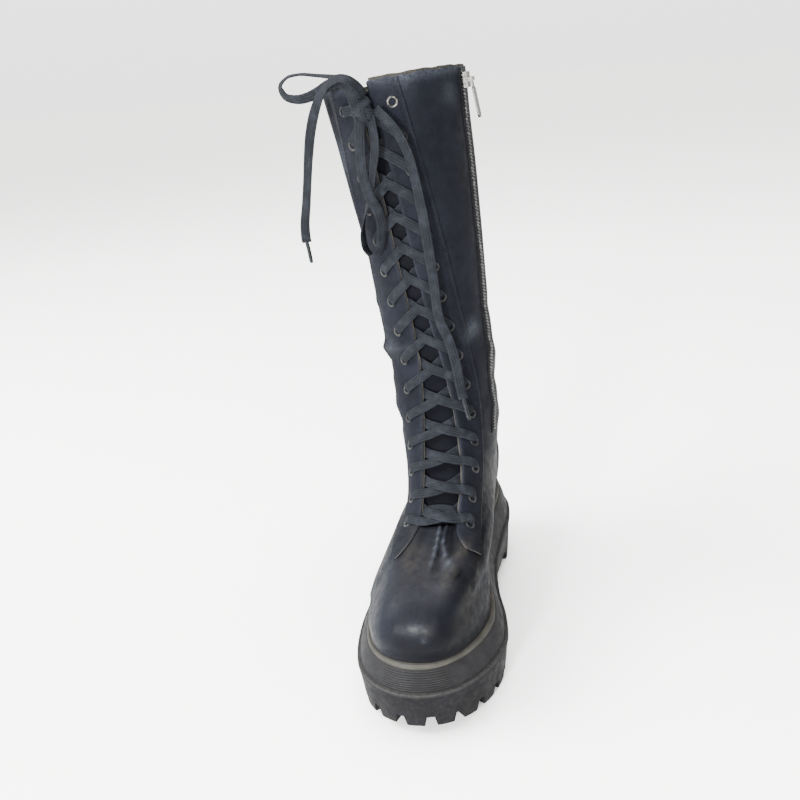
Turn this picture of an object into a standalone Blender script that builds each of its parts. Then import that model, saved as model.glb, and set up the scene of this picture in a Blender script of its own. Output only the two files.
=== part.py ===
"""Tall lace-up platform combat boot for the right foot, with a side zip and a lugged sole.

Metres, +Z up, toe towards -Y, inner (medial) side towards +X. The origin is on the floor,
under the middle of the boot. Tables are in millimetres and are read through the MM factor.
"""

import math
from collections import namedtuple

import bmesh
import bpy
import numpy as np
from mathutils import Matrix, Vector

MM = 0.001

# Driving dimensions
SOLE_LENGTH = 298 * MM
HEEL_Y = SOLE_LENGTH / 2
SHIFT_X = 16.395 * MM
SEAT_GAP = 0.3 * MM
WALL = 2.0 * MM
OVERLAY = 1.5 * MM
FACING_GAP = 0.5 * MM
FACING_TOP = FACING_GAP + OVERLAY

# Plan of the sole at its widest level: how far each side stands from the foot's axis
Outline = namedtuple("Outline", "from_heel lateral medial")
OUTLINE = [
    Outline(0, 0, 0),
    Outline(10, 25, 24),
    Outline(28, 37, 35),
    Outline(55, 42, 39),
    Outline(90, 46, 37),
    Outline(125, 52, 36),
    Outline(160, 59.5, 41),
    Outline(195, 63.5, 51),
    Outline(222, 62.5, 54.5),
    Outline(246, 58.5, 50),
    Outline(268, 51, 40),
    Outline(286, 37, 25.5),
    Outline(295, 22, 10.5),
    Outline(298, 7, -7),
]

# Side view of the sole: underside, ridge between the two tiers, and top
Profile = namedtuple("Profile", "from_heel bottom ridge top")
PROFILE = [
    Profile(0, 4, 46, 70),
    Profile(12, 0, 45.8, 69.7),
    Profile(62, 0, 42.8, 66),
    Profile(66, 11, 42.5, 65.5),
    Profile(110, 12, 38.6, 58.6),
    Profile(128, 10, 37.2, 56),
    Profile(133, 0, 36.8, 55.3),
    Profile(205, 0, 33.5, 50),
    Profile(238, 0, 33.5, 49.8),
    Profile(270, 3, 35.5, 51.4),
    Profile(298, 8.5, 38.2, 54),
]
HEEL_BREAST = 64 * MM
TREAD_START = 131 * MM

# Walls of the two tiers: how far each level lies inside the plan
TREAD_INSET = 3.5 * MM
OUTSOLE_SHOULDER = 3.0 * MM
MIDSOLE_FOOT_INSET = 2.5 * MM
MIDSOLE_TOP_INSET = 9.0 * MM
RIBS = 10
RIB_DEPTH = 0.7 * MM
RIB_LATERAL = 22 * MM
RIB_MEDIAL = 30 * MM

# Lugs: notches round the edge and grooves across the tread
NOTCHES = 31
NOTCH_START = 14 * MM
NOTCH_WIDTH = 10.5 * MM
NOTCH_TOP_WIDTH = 5.5 * MM
NOTCH_HEIGHT = 9.0 * MM
NOTCH_BELOW = 3.0 * MM
NOTCH_DEPTH = 14 * MM
GROOVE_WIDTH = 6 * MM
GROOVE_DEPTH = 6 * MM
Groove = namedtuple("Groove", "from_heel half_length")
GROOVES = [Groove(24, 14), Groove(44, 20), Groove(160, 26), Groove(185, 32), Groove(210, 36), Groove(235, 32)]

# Sections of the last, from the feather line up to the collar. Each is a loop from a front point
# to a back point, with half widths at ball, waist and heel, the sideways place of its axis, the
# blunt or round form of its two ends, and the rise of its inner side over its outer side.
Section = namedtuple(
    "Section",
    "front_y front_z back_y back_z front_x mid_x back_x ball waist heel front_round back_round tilt",
)
LAST = [
    Section(-136, 54, 137, 70, -5, -8.5, 0, 45, 31.5, 28.5, 0.45, 0.42, 0.0),
    Section(-140, 70, 140, 85, -4, -6, 0, 46, 32, 31.5, 0.45, 0.42, 0.0),
    Section(-136, 85, 141, 98, -3, -2.5, 0, 42.5, 32.5, 33, 0.45, 0.45, 0.0),
    Section(-126, 97, 141, 108, 0, 1.5, 0, 40.5, 33, 33.5, 0.50, 0.45, 0.0),
    Section(-110, 105, 140, 115, 1.5, 2.5, 0, 37.5, 33, 33.5, 0.60, 0.50, 0.0),
    Section(-90, 112, 138, 121, 3, 3, 0, 35, 33, 33, 0.70, 0.55, 0.0),
    Section(-71, 119, 135, 127, 3, 2.5, 0, 34, 33, 33, 0.75, 0.60, 0.0),
    Section(-54, 128, 132, 136, 3, 2, 0, 34, 34, 33, 0.80, 0.65, 0.0),
    Section(-32, 146, 128, 149, 1, 0.5, -1, 36, 36.5, 34, 0.85, 0.70, 0.02),
    Section(-8, 168, 123, 167, -3, -3, -3, 39, 40, 37, 0.90, 0.80, 0.04),
    Section(10, 194, 119, 192, -6.5, -6.5, -6.5, 41.5, 42.5, 40, 0.95, 0.90, 0.06),
    Section(20, 226, 119, 224, -10.5, -10.5, -10.5, 43.5, 44.5, 43, 1.0, 1.0, 0.08),
    Section(22, 270, 122, 268, -15, -15, -15, 45, 46, 45, 1.0, 1.0, 0.09),
    Section(20, 320, 127, 318, -19.5, -19.5, -19.5, 47.5, 48.5, 48, 1.0, 1.0, 0.09),
    Section(16, 376, 131, 374, -26, -26, -26, 51, 52, 51, 1.0, 1.0, 0.10),
    Section(10, 438, 134, 434, -33.5, -33.5, -33.5, 54.5, 55.5, 55.5, 1.0, 1.0, 0.10),
]
BALL_AT = 0.30
WAIST_AT = 0.58
HEEL_AT = 0.86
SAG_ROWS = 4
FEATHER_ROWS = 2.0
FEATHER_INSET = MIDSOLE_TOP_INSET + 3 * MM
TOP_ROW = len(LAST) - 1

# Throat: its middle, as a distance from the front line, and half of its gap, at each height
Throat = namedtuple("Throat", "height middle half_gap")
THROAT = [
    Throat(118, 1.5, 14.5),
    Throat(130, 1.5, 15.2),
    Throat(146, 3, 16),
    Throat(168, 2.8, 14.1),
    Throat(212, 1.3, 9.9),
    Throat(260, -1.9, 6.9),
    Throat(308, -5.2, 6.6),
    Throat(355, -6.3, 6.3),
    Throat(438, -9.3, 5.0),
]
THROAT_ROW = 6.5

# Facings: the inner edge of the tab below the throat, and the back seam all the way up
FacingLine = namedtuple("FacingLine", "row medial lateral")
FACING_TAB = [
    FacingLine(3.6, 64, 47),
    FacingLine(4.2, 44, 36),
    FacingLine(5, 30, 25),
    FacingLine(6, 18, 16),
]
FACING_SEAM = [
    FacingLine(3.6, 68, 51),
    FacingLine(4.2, 65, 51),
    FacingLine(5, 60, 51),
    FacingLine(6.5, 53, 51),
    FacingLine(8, 47, 50),
    FacingLine(10, 39.5, 51),
    FacingLine(12, 31, 49),
    FacingLine(13.75, 23.5, 44),
    FacingLine(15, 17.5, 38),
]

# Tongue, insole and welt
TONGUE_THICKNESS = 2.4 * MM
TONGUE_LAP = 15 * MM
TONGUE_ROW = 5
LINING_GAP = 0.5 * MM
INSOLE_THICKNESS = 4.0 * MM
WELT_HEIGHT = 3.0 * MM
WELT_EDGE = 0.6 * MM

# Zip on the medial side: its place around the shaft at each row
ZipLine = namedtuple("ZipLine", "row around")
ZIP = [ZipLine(8.5, 0.205), ZipLine(11.5, 0.215), ZipLine(13.75, 0.226), ZipLine(15, 0.226)]
ZIP_WIDTH = 7 * MM
SLIDER_SIZE = (8 * MM, 11 * MM, 3 * MM)
SLIDER_DROP = 5 * MM
EAR_INSIDE = 1.8 * MM
EAR_WIDTH = 1.2 * MM
EAR_HALF_LENGTH = 1.5 * MM
PIN_RADIUS = 0.9 * MM
PIN_HEIGHT = 2.0 * MM
BARREL_RADIUS = 1.9 * MM
BARREL_BORE = 1.2 * MM
PULL_LENGTH = 28 * MM
PULL_HALF_WIDTH = 3.3 * MM
PULL_NECK = 1.4 * MM
PULL_NECK_LENGTH = 5 * MM
PULL_THICKNESS = 1.2 * MM
PULL_LEAN = math.radians(6)

# Eyelets, counted from the top pair down
EYELET_PAIRS = 15
EYELET_TOP_HEIGHT = 421 * MM
EYELET_LOW_ROW = 5.95
EYELET_FROM_EDGE = 14 * MM
EYELET_RADIUS = 3.4 * MM
EYELET_WIRE = 0.9 * MM
EYELET_GAP = 0.75 * MM

# Lace
LACE_WIDTH = 7.0 * MM
LACE_THICKNESS = 1.2 * MM
LACE_PAST_EDGE = 3.0 * MM
LACE_TUCK = 4.5 * MM
LACE_CLIMB = 0.86
CORD_RADIUS = 2.2 * MM
AGLET_RADIUS = 1.6 * MM
AGLET_LENGTH = 19 * MM
CORD_STEP = 12 * MM
KNOT_SIZE = (8 * MM, 5 * MM, 9 * MM)
KNOT_PLACE = (14.71, -8, 7.9)

# Free lace on the boot, as row, reach from the front line and distance off the leather
OnBoot = namedtuple("OnBoot", "row reach off")
LOOP_DOWN = [
    OnBoot(14.66, -4.5, 8),
    OnBoot(14.33, -5, 10.2),
    OnBoot(14.05, -10, 9.8),
    OnBoot(13.75, -16, 9.8),
    OnBoot(13.45, -25, 9.8),
    OnBoot(13.2, -31, 9.8),
    OnBoot(13.0, -31, 9.8),
    OnBoot(12.9, -25, 9.8),
    OnBoot(13.0, -18.5, 9.8),
    OnBoot(13.2, -14, 10.2),
    OnBoot(13.48, -12, 11),
    OnBoot(13.75, -14, 14.5),
    OnBoot(14.08, -15, 14.5),
    OnBoot(14.4, -12, 14.5),
    OnBoot(14.66, -11, 9),
]
END_DOWN = [
    OnBoot(14.7, -0.1, 9.0),
    OnBoot(14.5, 7.5, 10),
    OnBoot(14.17, 13, 9.8),
    OnBoot(13.83, 14, 9.8),
    OnBoot(13.5, 14, 9.8),
    OnBoot(13.0, 13.5, 9.8),
    OnBoot(12.42, 13, 9.8),
    OnBoot(11.75, 12.8, 9.8),
    OnBoot(11.33, 16.5, 9.8),
    OnBoot(10.83, 18.4, 9.8),
    OnBoot(10.33, 19, 9.8),
    OnBoot(9.83, 20.6, 9.8),
    OnBoot(9.35, 23, 9.8),
]

# Free lace beside the boot
InAir = namedtuple("InAir", "x y z")
LOOP_SIDE = [
    InAir(-25, 6, 423.5),
    InAir(-29, 6, 433),
    InAir(-37, 8.5, 440),
    InAir(-47.8, 13, 442),
    InAir(-60, 16.5, 443.8),
    InAir(-74.6, 20, 445.4),
    InAir(-85.4, 23, 443.4),
    InAir(-91.1, 25, 438),
    InAir(-88.7, 25, 431.8),
    InAir(-80.7, 23, 428.8),
    InAir(-68.8, 19, 429.5),
    InAir(-58, 14, 432.8),
    InAir(-48.4, 8, 436.5),
    InAir(-38, 3.5, 438.5),
    InAir(-31.5, 0.5, 433),
    InAir(-29.5, 1.5, 424),
    InAir(-28, 3.5, 415),
]
END_SIDE = [
    InAir(-22.5, 2.2, 427.2),
    InAir(-24.5, -3.5, 433.5),
    InAir(-30, -6.5, 438.8),
    InAir(-36, -5, 440.4),
    InAir(-44, -1, 438.4),
    InAir(-53, 6, 432.7),
    InAir(-62.5, 14, 421),
    InAir(-70, 20, 406),
    InAir(-75.6, 25, 389.4),
    InAir(-80.4, 29, 370.5),
    InAir(-85, 32, 351),
    InAir(-89, 34, 334),
    InAir(-89.8, 35, 325),
    InAir(-89, 36, 314.7),
    InAir(-88.4, 37, 304.3),
]

# Mesh fineness
SOLE_STATIONS = 32
STATION_SPACE = 3 * MM
UPPER_COLUMNS = 44
UPPER_ROWS = [0, 0.6, 1.2, 2, 2.6, 3.1, 3.6, 4.2, 5, 5.8, 6.5, 7.5, 8.5, 9.4, 10.2, 10.9, 11.6, 12.5, 13.75, 15]
LATTICE_ROWS = 181
LATTICE_COLUMNS = 240
ROW_RISE = 60 * MM


def smooth(x, xs, ys):
    """Cubic curve through the rows (xs, ys), with the mean slope of its neighbours at each row."""
    x = np.asarray(x, float)
    xs = np.asarray(xs, float)
    ys = np.asarray(ys, float)
    step = np.diff(xs)
    rise = np.diff(ys) / step
    mean = (rise[:-1] * step[1:] + rise[1:] * step[:-1]) / (step[1:] + step[:-1])
    slope = np.concatenate([rise[:1], mean, rise[-1:]])
    i = np.clip(np.searchsorted(xs, x, side="right") - 1, 0, len(xs) - 2)
    f = (x - xs[i]) / step[i]
    start = (1 + 2 * f) * (1 - f) ** 2 * ys[i] + f * (1 - f) ** 2 * step[i] * slope[i]
    end = f * f * (3 - 2 * f) * ys[i + 1] + f * f * (f - 1) * step[i] * slope[i + 1]
    return start + end


def column(table, name):
    """One column of a table in millimetres, as metres."""
    return np.array([getattr(row, name) for row in table]) * MM


def rows_of(table):
    """The row column of a table, which counts sections of the last."""
    return [line.row for line in table]


def round_ends(from_heel):
    """Turns a distance along the sole into an angle, so that widths drawn over it close in round ends."""
    return np.arccos(1 - 2 * np.clip(np.asarray(from_heel) / SOLE_LENGTH, 0, 1))


def sole_height(from_heel, level):
    """Height of the underside, ridge or top of the sole at a distance from the heel's back."""
    places = column(PROFILE, "from_heel")
    if level == "bottom":
        return np.interp(from_heel, places, column(PROFILE, level))
    return smooth(from_heel, places, column(PROFILE, level))


def sole_stations():
    """Distances from the heel's back, close together at both ends and at the steps of the underside."""
    even = (1 - np.cos(np.linspace(0, math.pi, SOLE_STATIONS))) / 2 * SOLE_LENGTH
    places = column(PROFILE, "from_heel")
    steps = places[(places > HEEL_BREAST - STATION_SPACE) & (places < TREAD_START + STATION_SPACE)]
    apart = [place for place in even if np.abs(place - steps).min() > STATION_SPACE]
    return np.sort(np.concatenate([apart, steps]))


def sole_plan(inset):
    """Points round the sole, heel, lateral side, toe, medial side, with their outward directions."""
    stations = sole_stations()
    turn = round_ends(stations)
    rows = round_ends(column(OUTLINE, "from_heel"))
    lateral = np.stack([-smooth(turn, rows, column(OUTLINE, "lateral")), HEEL_Y - stations], 1)
    medial = np.stack([smooth(turn, rows, column(OUTLINE, "medial")), HEEL_Y - stations], 1)
    edge = np.concatenate([lateral, medial[-2:0:-1]])
    step = np.roll(edge, -1, 0) - np.roll(edge, 1, 0)
    outward = np.stack([step[:, 1], -step[:, 0]], 1)
    outward /= np.linalg.norm(outward, axis=1)[:, None]
    return edge - inset * outward, outward


def sole_edge(inset):
    """The sole's plan in its place in the part."""
    edge, outward = sole_plan(inset)
    return edge + np.array([SHIFT_X, 0]), outward


def sole_ring(inset, level, rise=0.0):
    """The plan at an inset, raised to a level of the sole."""
    edge, _ = sole_edge(inset)
    return np.column_stack([edge, sole_height(HEEL_Y - edge[:, 1], level) + rise])


class Skin:
    """Outer face of the upper: a point and an outward direction for each row and place around.

    Rows count the sections of the last. Around runs from 0 at the front, over the medial side,
    to 1 at the front again. Reach is the same in metres, positive on the medial side.
    """

    def __init__(self):
        self.rows = np.linspace(0, TOP_ROW, LATTICE_ROWS)
        field = {
            name: smooth(self.rows, np.arange(len(LAST)), [getattr(row, name) for row in LAST])
            for name in Section._fields
        }
        edge, _ = sole_plan(FEATHER_INSET)
        feather, _ = self.even(np.roll(edge, -(len(edge) // 2), 0))
        self.points = np.zeros((LATTICE_ROWS, LATTICE_COLUMNS, 3))
        self.girth = np.zeros(LATTICE_ROWS)
        for i, row in enumerate(self.rows):
            at = Section(*(field[name][i] for name in Section._fields))
            loop, self.girth[i] = self.even(self.section_plan(at))
            share = max(0, 1 - row / FEATHER_ROWS) ** 2
            plan = feather * share + loop * (1 - share)
            self.points[i, :, :2] = plan
            self.points[i, :, 2] = self.section_height(at, row, plan)
        around_step = np.roll(self.points, -1, 1) - np.roll(self.points, 1, 1)
        self.normals = np.cross(around_step, np.gradient(self.points, axis=0))
        self.normals /= np.linalg.norm(self.normals, axis=2)[..., None]

    @staticmethod
    def section_plan(at):
        """Loop of a section seen from above, from the front over the medial side."""
        turn = np.linspace(0, math.pi, LATTICE_COLUMNS)
        part_way = (1 - np.cos(turn)) / 2
        half = smooth(part_way, [0, BALL_AT, WAIST_AT, HEEL_AT, 1], [at.ball, at.ball, at.waist, at.heel, at.heel])
        half = half * np.sin(turn) ** (at.front_round + part_way * (at.back_round - at.front_round))
        axis = smooth(part_way, [0, 0.5, 1], [at.front_x, at.mid_x, at.back_x])
        y = at.front_y + part_way * (at.back_y - at.front_y)
        medial = np.stack([axis + half, y], 1)
        lateral = np.stack([axis - half, y], 1)
        return np.concatenate([medial, lateral[-2:0:-1]]) * MM

    @staticmethod
    def section_height(at, row, plan):
        """Heights round a section. The lowest lies on the sole and the next ones follow it less and less."""
        def line(end):
            part_way = (plan[:, 1] / MM - end.front_y) / (end.back_y - end.front_y)
            return (end.front_z + part_way * (end.back_z - end.front_z)) * MM

        seat = sole_height(HEEL_Y - plan[:, 1], "top") + 1.5 * SEAT_GAP
        sag = (seat - line(LAST[0])) * max(0, 1 - row / SAG_ROWS)
        return line(at) + sag + at.tilt * (plan[:, 0] - at.mid_x * MM)

    @staticmethod
    def even(loop):
        """The loop with its points at even distances, and its length."""
        closed = np.vstack([loop, loop[:1]])
        length = np.concatenate([[0], np.cumsum(np.linalg.norm(np.diff(closed, axis=0), axis=1))])
        places = np.arange(LATTICE_COLUMNS) / LATTICE_COLUMNS * length[-1]
        return np.stack([np.interp(places, length, closed[:, k]) for k in range(2)], 1), length[-1]

    def frame(self, row, around):
        """Points and outward directions at rows and places around. Past the collar they run straight up."""
        row, around = np.broadcast_arrays(np.asarray(row, float), np.asarray(around, float))
        r = np.clip(row / TOP_ROW, 0, 1) * (LATTICE_ROWS - 1)
        i = np.minimum(r.astype(int), LATTICE_ROWS - 2)
        a = (around % 1.0) * LATTICE_COLUMNS
        j = a.astype(int) % LATTICE_COLUMNS
        k = (j + 1) % LATTICE_COLUMNS
        fr = (r - i)[..., None]
        fa = (a - np.floor(a))[..., None]

        def mix(field):
            low = field[i, j] * (1 - fa) + field[i, k] * fa
            high = field[i + 1, j] * (1 - fa) + field[i + 1, k] * fa
            return low * (1 - fr) + high * fr

        point = mix(self.points)
        point[..., 0] += SHIFT_X
        point[..., 2] += np.maximum(row - TOP_ROW, 0) * ROW_RISE
        normal = mix(self.normals)
        return point, normal / np.linalg.norm(normal, axis=-1)[..., None]

    def at(self, row, around, off=0.0):
        """Points at rows and places around, moved out by off."""
        point, normal = self.frame(row, around)
        return point + normal * np.asarray(off, float)[..., None]

    def around(self, row, reach):
        """Place around that lies at a distance from the front line, positive on the medial side."""
        return np.asarray(reach) / np.interp(row, self.rows, self.girth)

    def across(self, row, reach, off=0.0):
        """Points at rows and distances from the front line, moved out by off."""
        return self.at(row, self.around(row, reach), off)

    def row_at(self, height):
        """Row that has this height on the front line."""
        return float(np.interp(height, self.points[:, 0, 2], self.rows))

    def front_height(self, row):
        """Height of the front line at a row."""
        return np.interp(row, self.rows, self.points[:, 0, 2])


SKIN = Skin()


def throat_at(row, name):
    """Middle or half gap of the throat at a row."""
    return smooth(SKIN.front_height(row), column(THROAT, "height"), column(THROAT, name))


def facing_inner(row, side):
    """Inner edge of a facing: the throat's edge, and below it the edge of the tab."""
    if row < THROAT_ROW:
        return float(np.interp(row, rows_of(FACING_TAB), column(FACING_TAB, side)))
    sign = 1 if side == "medial" else -1
    return float(throat_at(row, "half_gap") + sign * throat_at(row, "middle"))


def facing_outer(row, side):
    """Back seam of a facing."""
    return float(np.interp(row, rows_of(FACING_SEAM), column(FACING_SEAM, side)))


def zip_around(row):
    """Place of the zip around the shaft."""
    return np.interp(row, rows_of(ZIP), [line.around for line in ZIP])


def new_material(name, hex_colour, roughness, metallic=0.0):
    """Plain material with the part's own colour."""
    material = bpy.data.materials.new(name)
    material.use_nodes = True
    shader = material.node_tree.nodes["Principled BSDF"]
    srgb = [int(hex_colour[i : i + 2], 16) / 255 for i in (0, 2, 4)]
    linear = [v / 12.92 if v <= 0.04045 else ((v + 0.055) / 1.055) ** 2.4 for v in srgb]
    shader.inputs["Base Color"].default_value = (*linear, 1.0)
    shader.inputs["Roughness"].default_value = roughness
    shader.inputs["Metallic"].default_value = metallic
    return material


def new_object(name, mesh, collection, material=None):
    """Object with a mesh, in its collection."""
    obj = bpy.data.objects.new(name, mesh)
    collection.objects.link(obj)
    if material:
        mesh.materials.append(material)
    return obj


def new_cutter(name, mesh, cutters):
    """Object that only cuts or joins."""
    obj = new_object(name, mesh, cutters)
    obj.hide_render = True
    obj.display_type = "WIRE"
    return obj


def mesh_of(name, bm):
    """Mesh made from a finished bmesh, its faces turned outwards."""
    bmesh.ops.recalc_face_normals(bm, faces=bm.faces)
    mesh = bpy.data.meshes.new(name)
    bm.to_mesh(mesh)
    bm.free()
    return mesh


def cap_ring(bm, ring):
    """Fills a ring of an even number of points by strips between its two sides."""
    for c in range(len(ring) // 2):
        corners = [ring[c], ring[c + 1], ring[-c - 1], ring[-c]]
        bm.faces.new(dict.fromkeys(corners))


def loft(name, rings):
    """Closed solid through rings of points, with both ends filled."""
    bm = bmesh.new()
    verts = [[bm.verts.new(point) for point in ring] for ring in rings]
    for low, high in zip(verts, verts[1:]):
        for c in range(len(low)):
            bm.faces.new((low[c - 1], low[c], high[c], high[c - 1]))
    cap_ring(bm, verts[0])
    cap_ring(bm, verts[-1])
    return mesh_of(name, bm)


def sheet(name, grid, closed=False):
    """Open surface over rows of points. Closed joins the ends of each row."""
    bm = bmesh.new()
    verts = [[bm.verts.new(point) for point in row] for row in grid]
    first = 0 if closed else 1
    for low, high in zip(verts, verts[1:]):
        for c in range(first, len(low)):
            bm.faces.new((low[c - 1], low[c], high[c], high[c - 1]))
    mesh = bpy.data.meshes.new(name)
    bm.to_mesh(mesh)
    bm.free()
    return mesh


def box(bm, size, place, top_width=None):
    """Box in a bmesh, in a frame given by place. A top width narrows its upper face along X."""
    made = bmesh.ops.create_cube(bm, size=1.0)["verts"]
    for vert in made:
        wide = top_width if top_width and vert.co.z > 0 else size[0]
        vert.co = place @ Vector((vert.co.x * wide, vert.co.y * size[1], vert.co.z * size[2]))


def solidify(obj, thickness, offset):
    """Gives an open surface its thickness, inwards for offset -1 and outwards for 1."""
    shell = obj.modifiers.new("thickness", "SOLIDIFY")
    shell.thickness = thickness
    shell.offset = offset
    shell.use_even_offset = True


def boolean(obj, other, operation):
    """Boolean with an object that stays out of the part."""
    modifier = obj.modifiers.new(other.name, "BOOLEAN")
    modifier.operation = operation
    modifier.object = other
    modifier.solver = "EXACT"


def panel(name, rows, low, high, columns, off, thickness, parts, material):
    """Piece on the upper's own face between two places around for each row."""
    share = np.linspace(0, 1, columns)
    grid = [SKIN.at(row, a + (b - a) * share, off) for row, a, b in zip(rows, low, high)]
    obj = new_object(name, sheet(name, grid), parts, material)
    solidify(obj, thickness, 1)


def make_outsole(parts, cutters, material):
    """Lower tier of the platform with heel block, arch, toe spring and lugs."""
    rings = [
        sole_ring(TREAD_INSET, "bottom"),
        sole_ring(0.3 * TREAD_INSET, "ridge", -3 * OUTSOLE_SHOULDER),
        sole_ring(0.0, "ridge", -OUTSOLE_SHOULDER),
        sole_ring(SEAT_GAP, "ridge"),
    ]
    outsole = new_object("outsole", loft("outsole", rings), parts, material)
    edge, outward = sole_edge(TREAD_INSET)
    toe = len(edge) // 2
    edge, outward = np.roll(edge, -toe, 0), np.roll(outward, -toe, 0)
    closed = np.vstack([edge, edge[:1]])
    length = np.concatenate([[0], np.cumsum(np.linalg.norm(np.diff(closed, axis=0), axis=1))])
    bm = bmesh.new()
    for place in NOTCH_START + np.arange(NOTCHES) / NOTCHES * length[-1]:
        i = min(np.searchsorted(length, place, side="right") - 1, len(edge) - 1)
        share = (place - length[i]) / (length[i + 1] - length[i])
        x, y = closed[i] * (1 - share) + closed[i + 1] * share
        along = HEEL_Y - y
        if HEEL_BREAST - NOTCH_WIDTH < along < TREAD_START + NOTCH_WIDTH:
            continue
        turn = outward[i] * (1 - share) + outward[(i + 1) % len(edge)] * share
        angle = math.atan2(turn[1], turn[0]) - math.pi / 2
        middle = float(sole_height(along, "bottom")) + (NOTCH_HEIGHT - NOTCH_BELOW) / 2
        spin = Matrix.Translation((x, y, middle)) @ Matrix.Rotation(angle, 4, "Z")
        box(bm, (NOTCH_WIDTH, 2 * NOTCH_DEPTH, NOTCH_HEIGHT + NOTCH_BELOW), spin, NOTCH_TOP_WIDTH)
    boolean(outsole, new_cutter("notches", mesh_of("notches", bm), cutters), "DIFFERENCE")
    bm = bmesh.new()
    for groove in GROOVES:
        place = Matrix.Translation((SHIFT_X, HEEL_Y - groove.from_heel * MM, 0))
        box(bm, (2 * groove.half_length * MM, GROOVE_WIDTH, 2 * GROOVE_DEPTH), place)
    boolean(outsole, new_cutter("grooves", mesh_of("grooves", bm), cutters), "DIFFERENCE")


def make_midsole(parts, material):
    """Upper tier of the platform, drawn in towards the welt, with a ribbed band round the toe."""
    foot = sole_ring(MIDSOLE_FOOT_INSET, "ridge", SEAT_GAP)
    top = sole_ring(MIDSOLE_TOP_INSET, "top")
    _, outward = sole_edge(MIDSOLE_FOOT_INSET)
    toe = len(foot) // 2
    bm = bmesh.new()
    columns = []
    for c, (low, high) in enumerate(zip(foot, top)):
        side = low[0] - foot[toe][0]
        near_toe = low[1] < 0 and -RIB_LATERAL < side < RIB_MEDIAL
        points = [low]
        if near_toe:
            last = not -RIB_LATERAL < foot[c - 1][0] - foot[toe][0] < RIB_MEDIAL
            last = last or not -RIB_LATERAL < foot[(c + 1) % len(foot)][0] - foot[toe][0] < RIB_MEDIAL
            for step in range(1, 2 * RIBS):
                groove = RIB_DEPTH if step % 2 and not last else 0.0
                point = low + (high - low) * step / (2 * RIBS)
                points.append(point - groove * np.array([*outward[c], 0]))
        points.append(high)
        columns.append([bm.verts.new(point) for point in points])
    for left, right in zip(columns, columns[1:] + columns[:1]):
        if len(left) == len(right):
            for k in range(len(left) - 1):
                bm.faces.new((left[k], right[k], right[k + 1], left[k + 1]))
        else:
            bm.faces.new(left[::-1] + right)
    cap_ring(bm, [points[0] for points in columns])
    cap_ring(bm, [points[-1] for points in columns])
    new_object("midsole", mesh_of("midsole", bm), parts, material)


def first_crossing(start, direction, outline):
    """Where a ray in plan first meets a closed outline."""
    tail = np.roll(outline, -1, 0) - outline
    gap = outline - start
    det = direction[0] * tail[:, 1] - direction[1] * tail[:, 0]
    along = (gap[:, 0] * tail[:, 1] - gap[:, 1] * tail[:, 0]) / det
    share = (gap[:, 0] * direction[1] - gap[:, 1] * direction[0]) / det
    return start + direction * along[(share >= 0) & (share <= 1) & (along > 0)].min()


def feather_line(around):
    """Foot of the upper, and level directions out of it whose length allows for the slope of its wall."""
    foot, normal = SKIN.frame(0.0, around)
    level = np.hypot(normal[:, 0], normal[:, 1])
    outward = np.column_stack([normal[:, :2] / (level**2)[:, None], np.zeros(len(foot))])
    return foot, outward


def make_welt(parts, material):
    """Strip that lies on the midsole round the foot of the upper."""
    around = np.arange(UPPER_COLUMNS) / UPPER_COLUMNS
    foot, outward = feather_line(around)
    wall = SKIN.at(UPPER_ROWS[1], around)
    climb = (WELT_HEIGHT / (wall[:, 2] - foot[:, 2]))[:, None]
    head = foot + (wall - foot) * climb
    outline, _ = sole_edge(MIDSOLE_TOP_INSET + WELT_EDGE)
    bm = bmesh.new()
    rings = [[], [], [], []]
    for low, high, out in zip(foot, head, outward):
        outer = first_crossing(low[:2], out[:2] / np.linalg.norm(out[:2]), outline)
        base = float(sole_height(HEEL_Y - outer[1], "top")) + SEAT_GAP
        rings[0].append(bm.verts.new((*outer, base)))
        rings[1].append(bm.verts.new((*outer, base + WELT_HEIGHT)))
        rings[2].append(bm.verts.new(high + LINING_GAP * out))
        rings[3].append(bm.verts.new(low + LINING_GAP * out))
    for low, high in zip(rings, rings[1:] + rings[:1]):
        for c in range(len(low)):
            bm.faces.new((low[c - 1], low[c], high[c], high[c - 1]))
    new_object("welt", mesh_of("welt", bm), parts, material)


def make_insole(parts, material):
    """Board that fills the foot of the upper, on the midsole."""
    around = np.arange(UPPER_COLUMNS) / UPPER_COLUMNS
    foot, outward = feather_line(around)
    low = foot - (WALL + 2 * LINING_GAP) * outward
    low[:, 2] = sole_height(HEEL_Y - low[:, 1], "top") + SEAT_GAP
    high = low + np.array([0, 0, INSOLE_THICKNESS])
    new_object("insole", loft("insole", [low, high]), parts, material)


def make_upper(parts, cutters, material):
    """Vamp, quarters and shaft: one wall, open underneath, at the collar and down the throat."""
    around = np.arange(UPPER_COLUMNS) / UPPER_COLUMNS
    grid = [SKIN.at(row, around) for row in UPPER_ROWS]
    upper = new_object("upper", sheet("upper", grid, closed=True), parts, material)
    solidify(upper, WALL, -1)
    rings = []
    for row in [row for row in UPPER_ROWS if row >= THROAT_ROW] + [TOP_ROW + 0.5]:
        half = throat_at(row, "half_gap")
        reach = throat_at(row, "middle") + half * np.array([-1, 1, 1, -1])
        rings.append(SKIN.across(row, reach, 4 * WALL * np.array([-1, -1, 1, 1])))
    boolean(upper, new_cutter("throat", loft("throat", rings), cutters), "DIFFERENCE")


def make_tongue(parts, material):
    """Tongue behind the throat, from under the vamp to the collar."""
    rows = [row for row in UPPER_ROWS if row >= TONGUE_ROW]
    rows[-1] = TOP_ROW - 0.1
    low, high = [], []
    for row in rows:
        spread = throat_at(row, "half_gap") + TONGUE_LAP
        low.append(SKIN.around(row, throat_at(row, "middle") - spread))
        high.append(SKIN.around(row, throat_at(row, "middle") + spread))
    off = -(WALL + LINING_GAP + TONGUE_THICKNESS)
    panel("tongue", rows, low, high, 7, off, TONGUE_THICKNESS, parts, material)


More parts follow.
